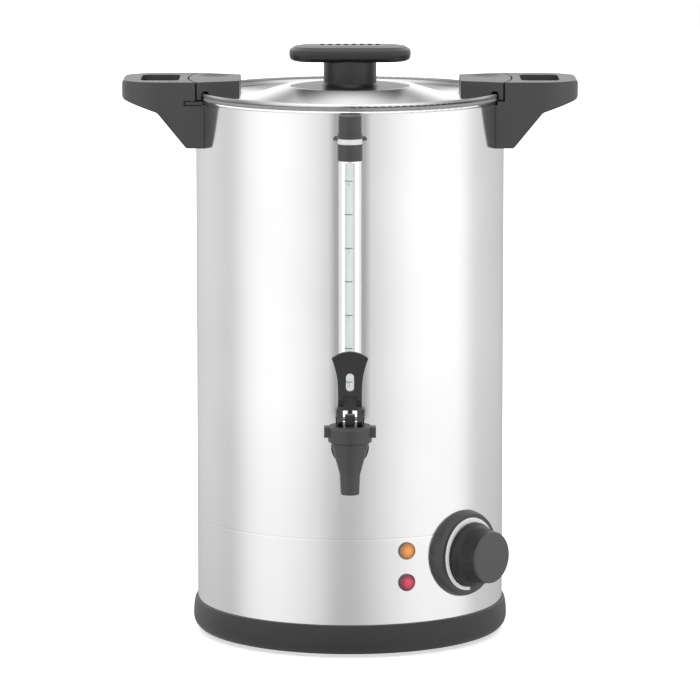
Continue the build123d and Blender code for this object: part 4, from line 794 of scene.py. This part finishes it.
# %% Ceiling and lower walls
CEILING = 1.45
CEILING_EDGE = (0.05, 0.15)    # Z where the ceiling begins, and where it is all that shows
LOWER_LEVEL = 0.78
LOWER_EDGE = (-0.215, -0.155)  # Z up to which the room is at its lower level, and from where it is full

above = add(room, "ShaderNodeMixRGB", Color2=(CEILING / BRIGHTEST,) * 3 + (1.0,))
room.links.new(run(room, parts.outputs["Z"], *CEILING_EDGE), above.inputs["Fac"])
room.links.new(walls.outputs["Color"], above.inputs["Color1"])
below = add(room, "ShaderNodeMixRGB", blend_type="MULTIPLY", Fac=1.0)
room.links.new(above.outputs["Color"], below.inputs["Color1"])
room.links.new(run(room, parts.outputs["Z"], *LOWER_EDGE, LOWER_LEVEL, 1.0), below.inputs["Color2"])
print("ceiling at", CEILING, "and lower walls at", LOWER_LEVEL, "of the walls")

# %% [markdown]
# The camera itself sees plain white behind the urn. A Light Path node tells a
# ray from the camera from one that leaves a surface, and the two get different
# backgrounds.

# %% Backdrop
lit = add(room, "ShaderNodeBackground", Strength=BRIGHTEST)
room.links.new(below.outputs["Color"], lit.inputs["Color"])
plain = add(room, "ShaderNodeBackground", Color=(1.0, 1.0, 1.0, 1.0), Strength=1.0)
seen = add(room, "ShaderNodeLightPath")
choose = add(room, "ShaderNodeMixShader")
room.links.new(seen.outputs["Is Camera Ray"], choose.inputs["Fac"])
room.links.new(lit.outputs["Background"], choose.inputs[1])
room.links.new(plain.outputs["Background"], choose.inputs[2])
output = add(room, "ShaderNodeOutputWorld")
room.links.new(choose.outputs["Shader"], output.inputs["Surface"])
print("the world has", len(room.nodes), "nodes")

# %% [markdown]
# ## The floor
#
# The floor is a white sheet. It keeps the soft shadow at the urn's foot, but
# the polished steel must mirror the room and not a sheet of paper, so rays
# that leave a glossy surface pass through it. A glow that only the camera sees
# lifts the sheet to the white of the backdrop.

# %% Floor
FLOOR_HALF = 6.0
FLOOR_GLOW = 0.45


def floor_sheet(half):
    """A square of four corners at z = 0, as far as half along X and Y."""
    corners = np.array([(-1, -1, 0), (1, -1, 0), (1, 1, 0), (-1, 1, 0)], float) * half
    mesh = bpy.data.meshes.new("floor")
    mesh.from_pydata(corners.tolist(), [], [(0, 1, 2, 3)])
    sheet = bpy.data.objects.new("floor", mesh)
    bpy.context.scene.collection.objects.link(sheet)
    return sheet


def white_paper():
    """Matt white with a glow for camera rays, and nothing at all for glossy rays."""
    paper, graph, shader = new_finish("white_floor", (0.86, 0.86, 0.86), 1.0)
    shader.inputs["Specular IOR Level"].default_value = 0.0
    glow = add(graph, "ShaderNodeEmission")
    both = add(graph, "ShaderNodeAddShader")
    gone = add(graph, "ShaderNodeBsdfTransparent")
    ray = add(graph, "ShaderNodeLightPath")
    swap = add(graph, "ShaderNodeMixShader")
    strength = calculate(graph, "MULTIPLY", ray.outputs["Is Camera Ray"], FLOOR_GLOW)
    graph.links.new(strength, glow.inputs["Strength"])
    graph.links.new(shader.outputs["BSDF"], both.inputs[0])
    graph.links.new(glow.outputs["Emission"], both.inputs[1])
    graph.links.new(ray.outputs["Is Glossy Ray"], swap.inputs["Fac"])
    graph.links.new(both.outputs["Shader"], swap.inputs[1])
    graph.links.new(gone.outputs["BSDF"], swap.inputs[2])
    graph.links.new(swap.outputs["Shader"], graph.nodes["Material Output"].inputs["Surface"])
    return paper


floor = floor_sheet(FLOOR_HALF)
floor.data.materials.append(white_paper())
print("the floor is", 2 * FLOOR_HALF, "metres square")
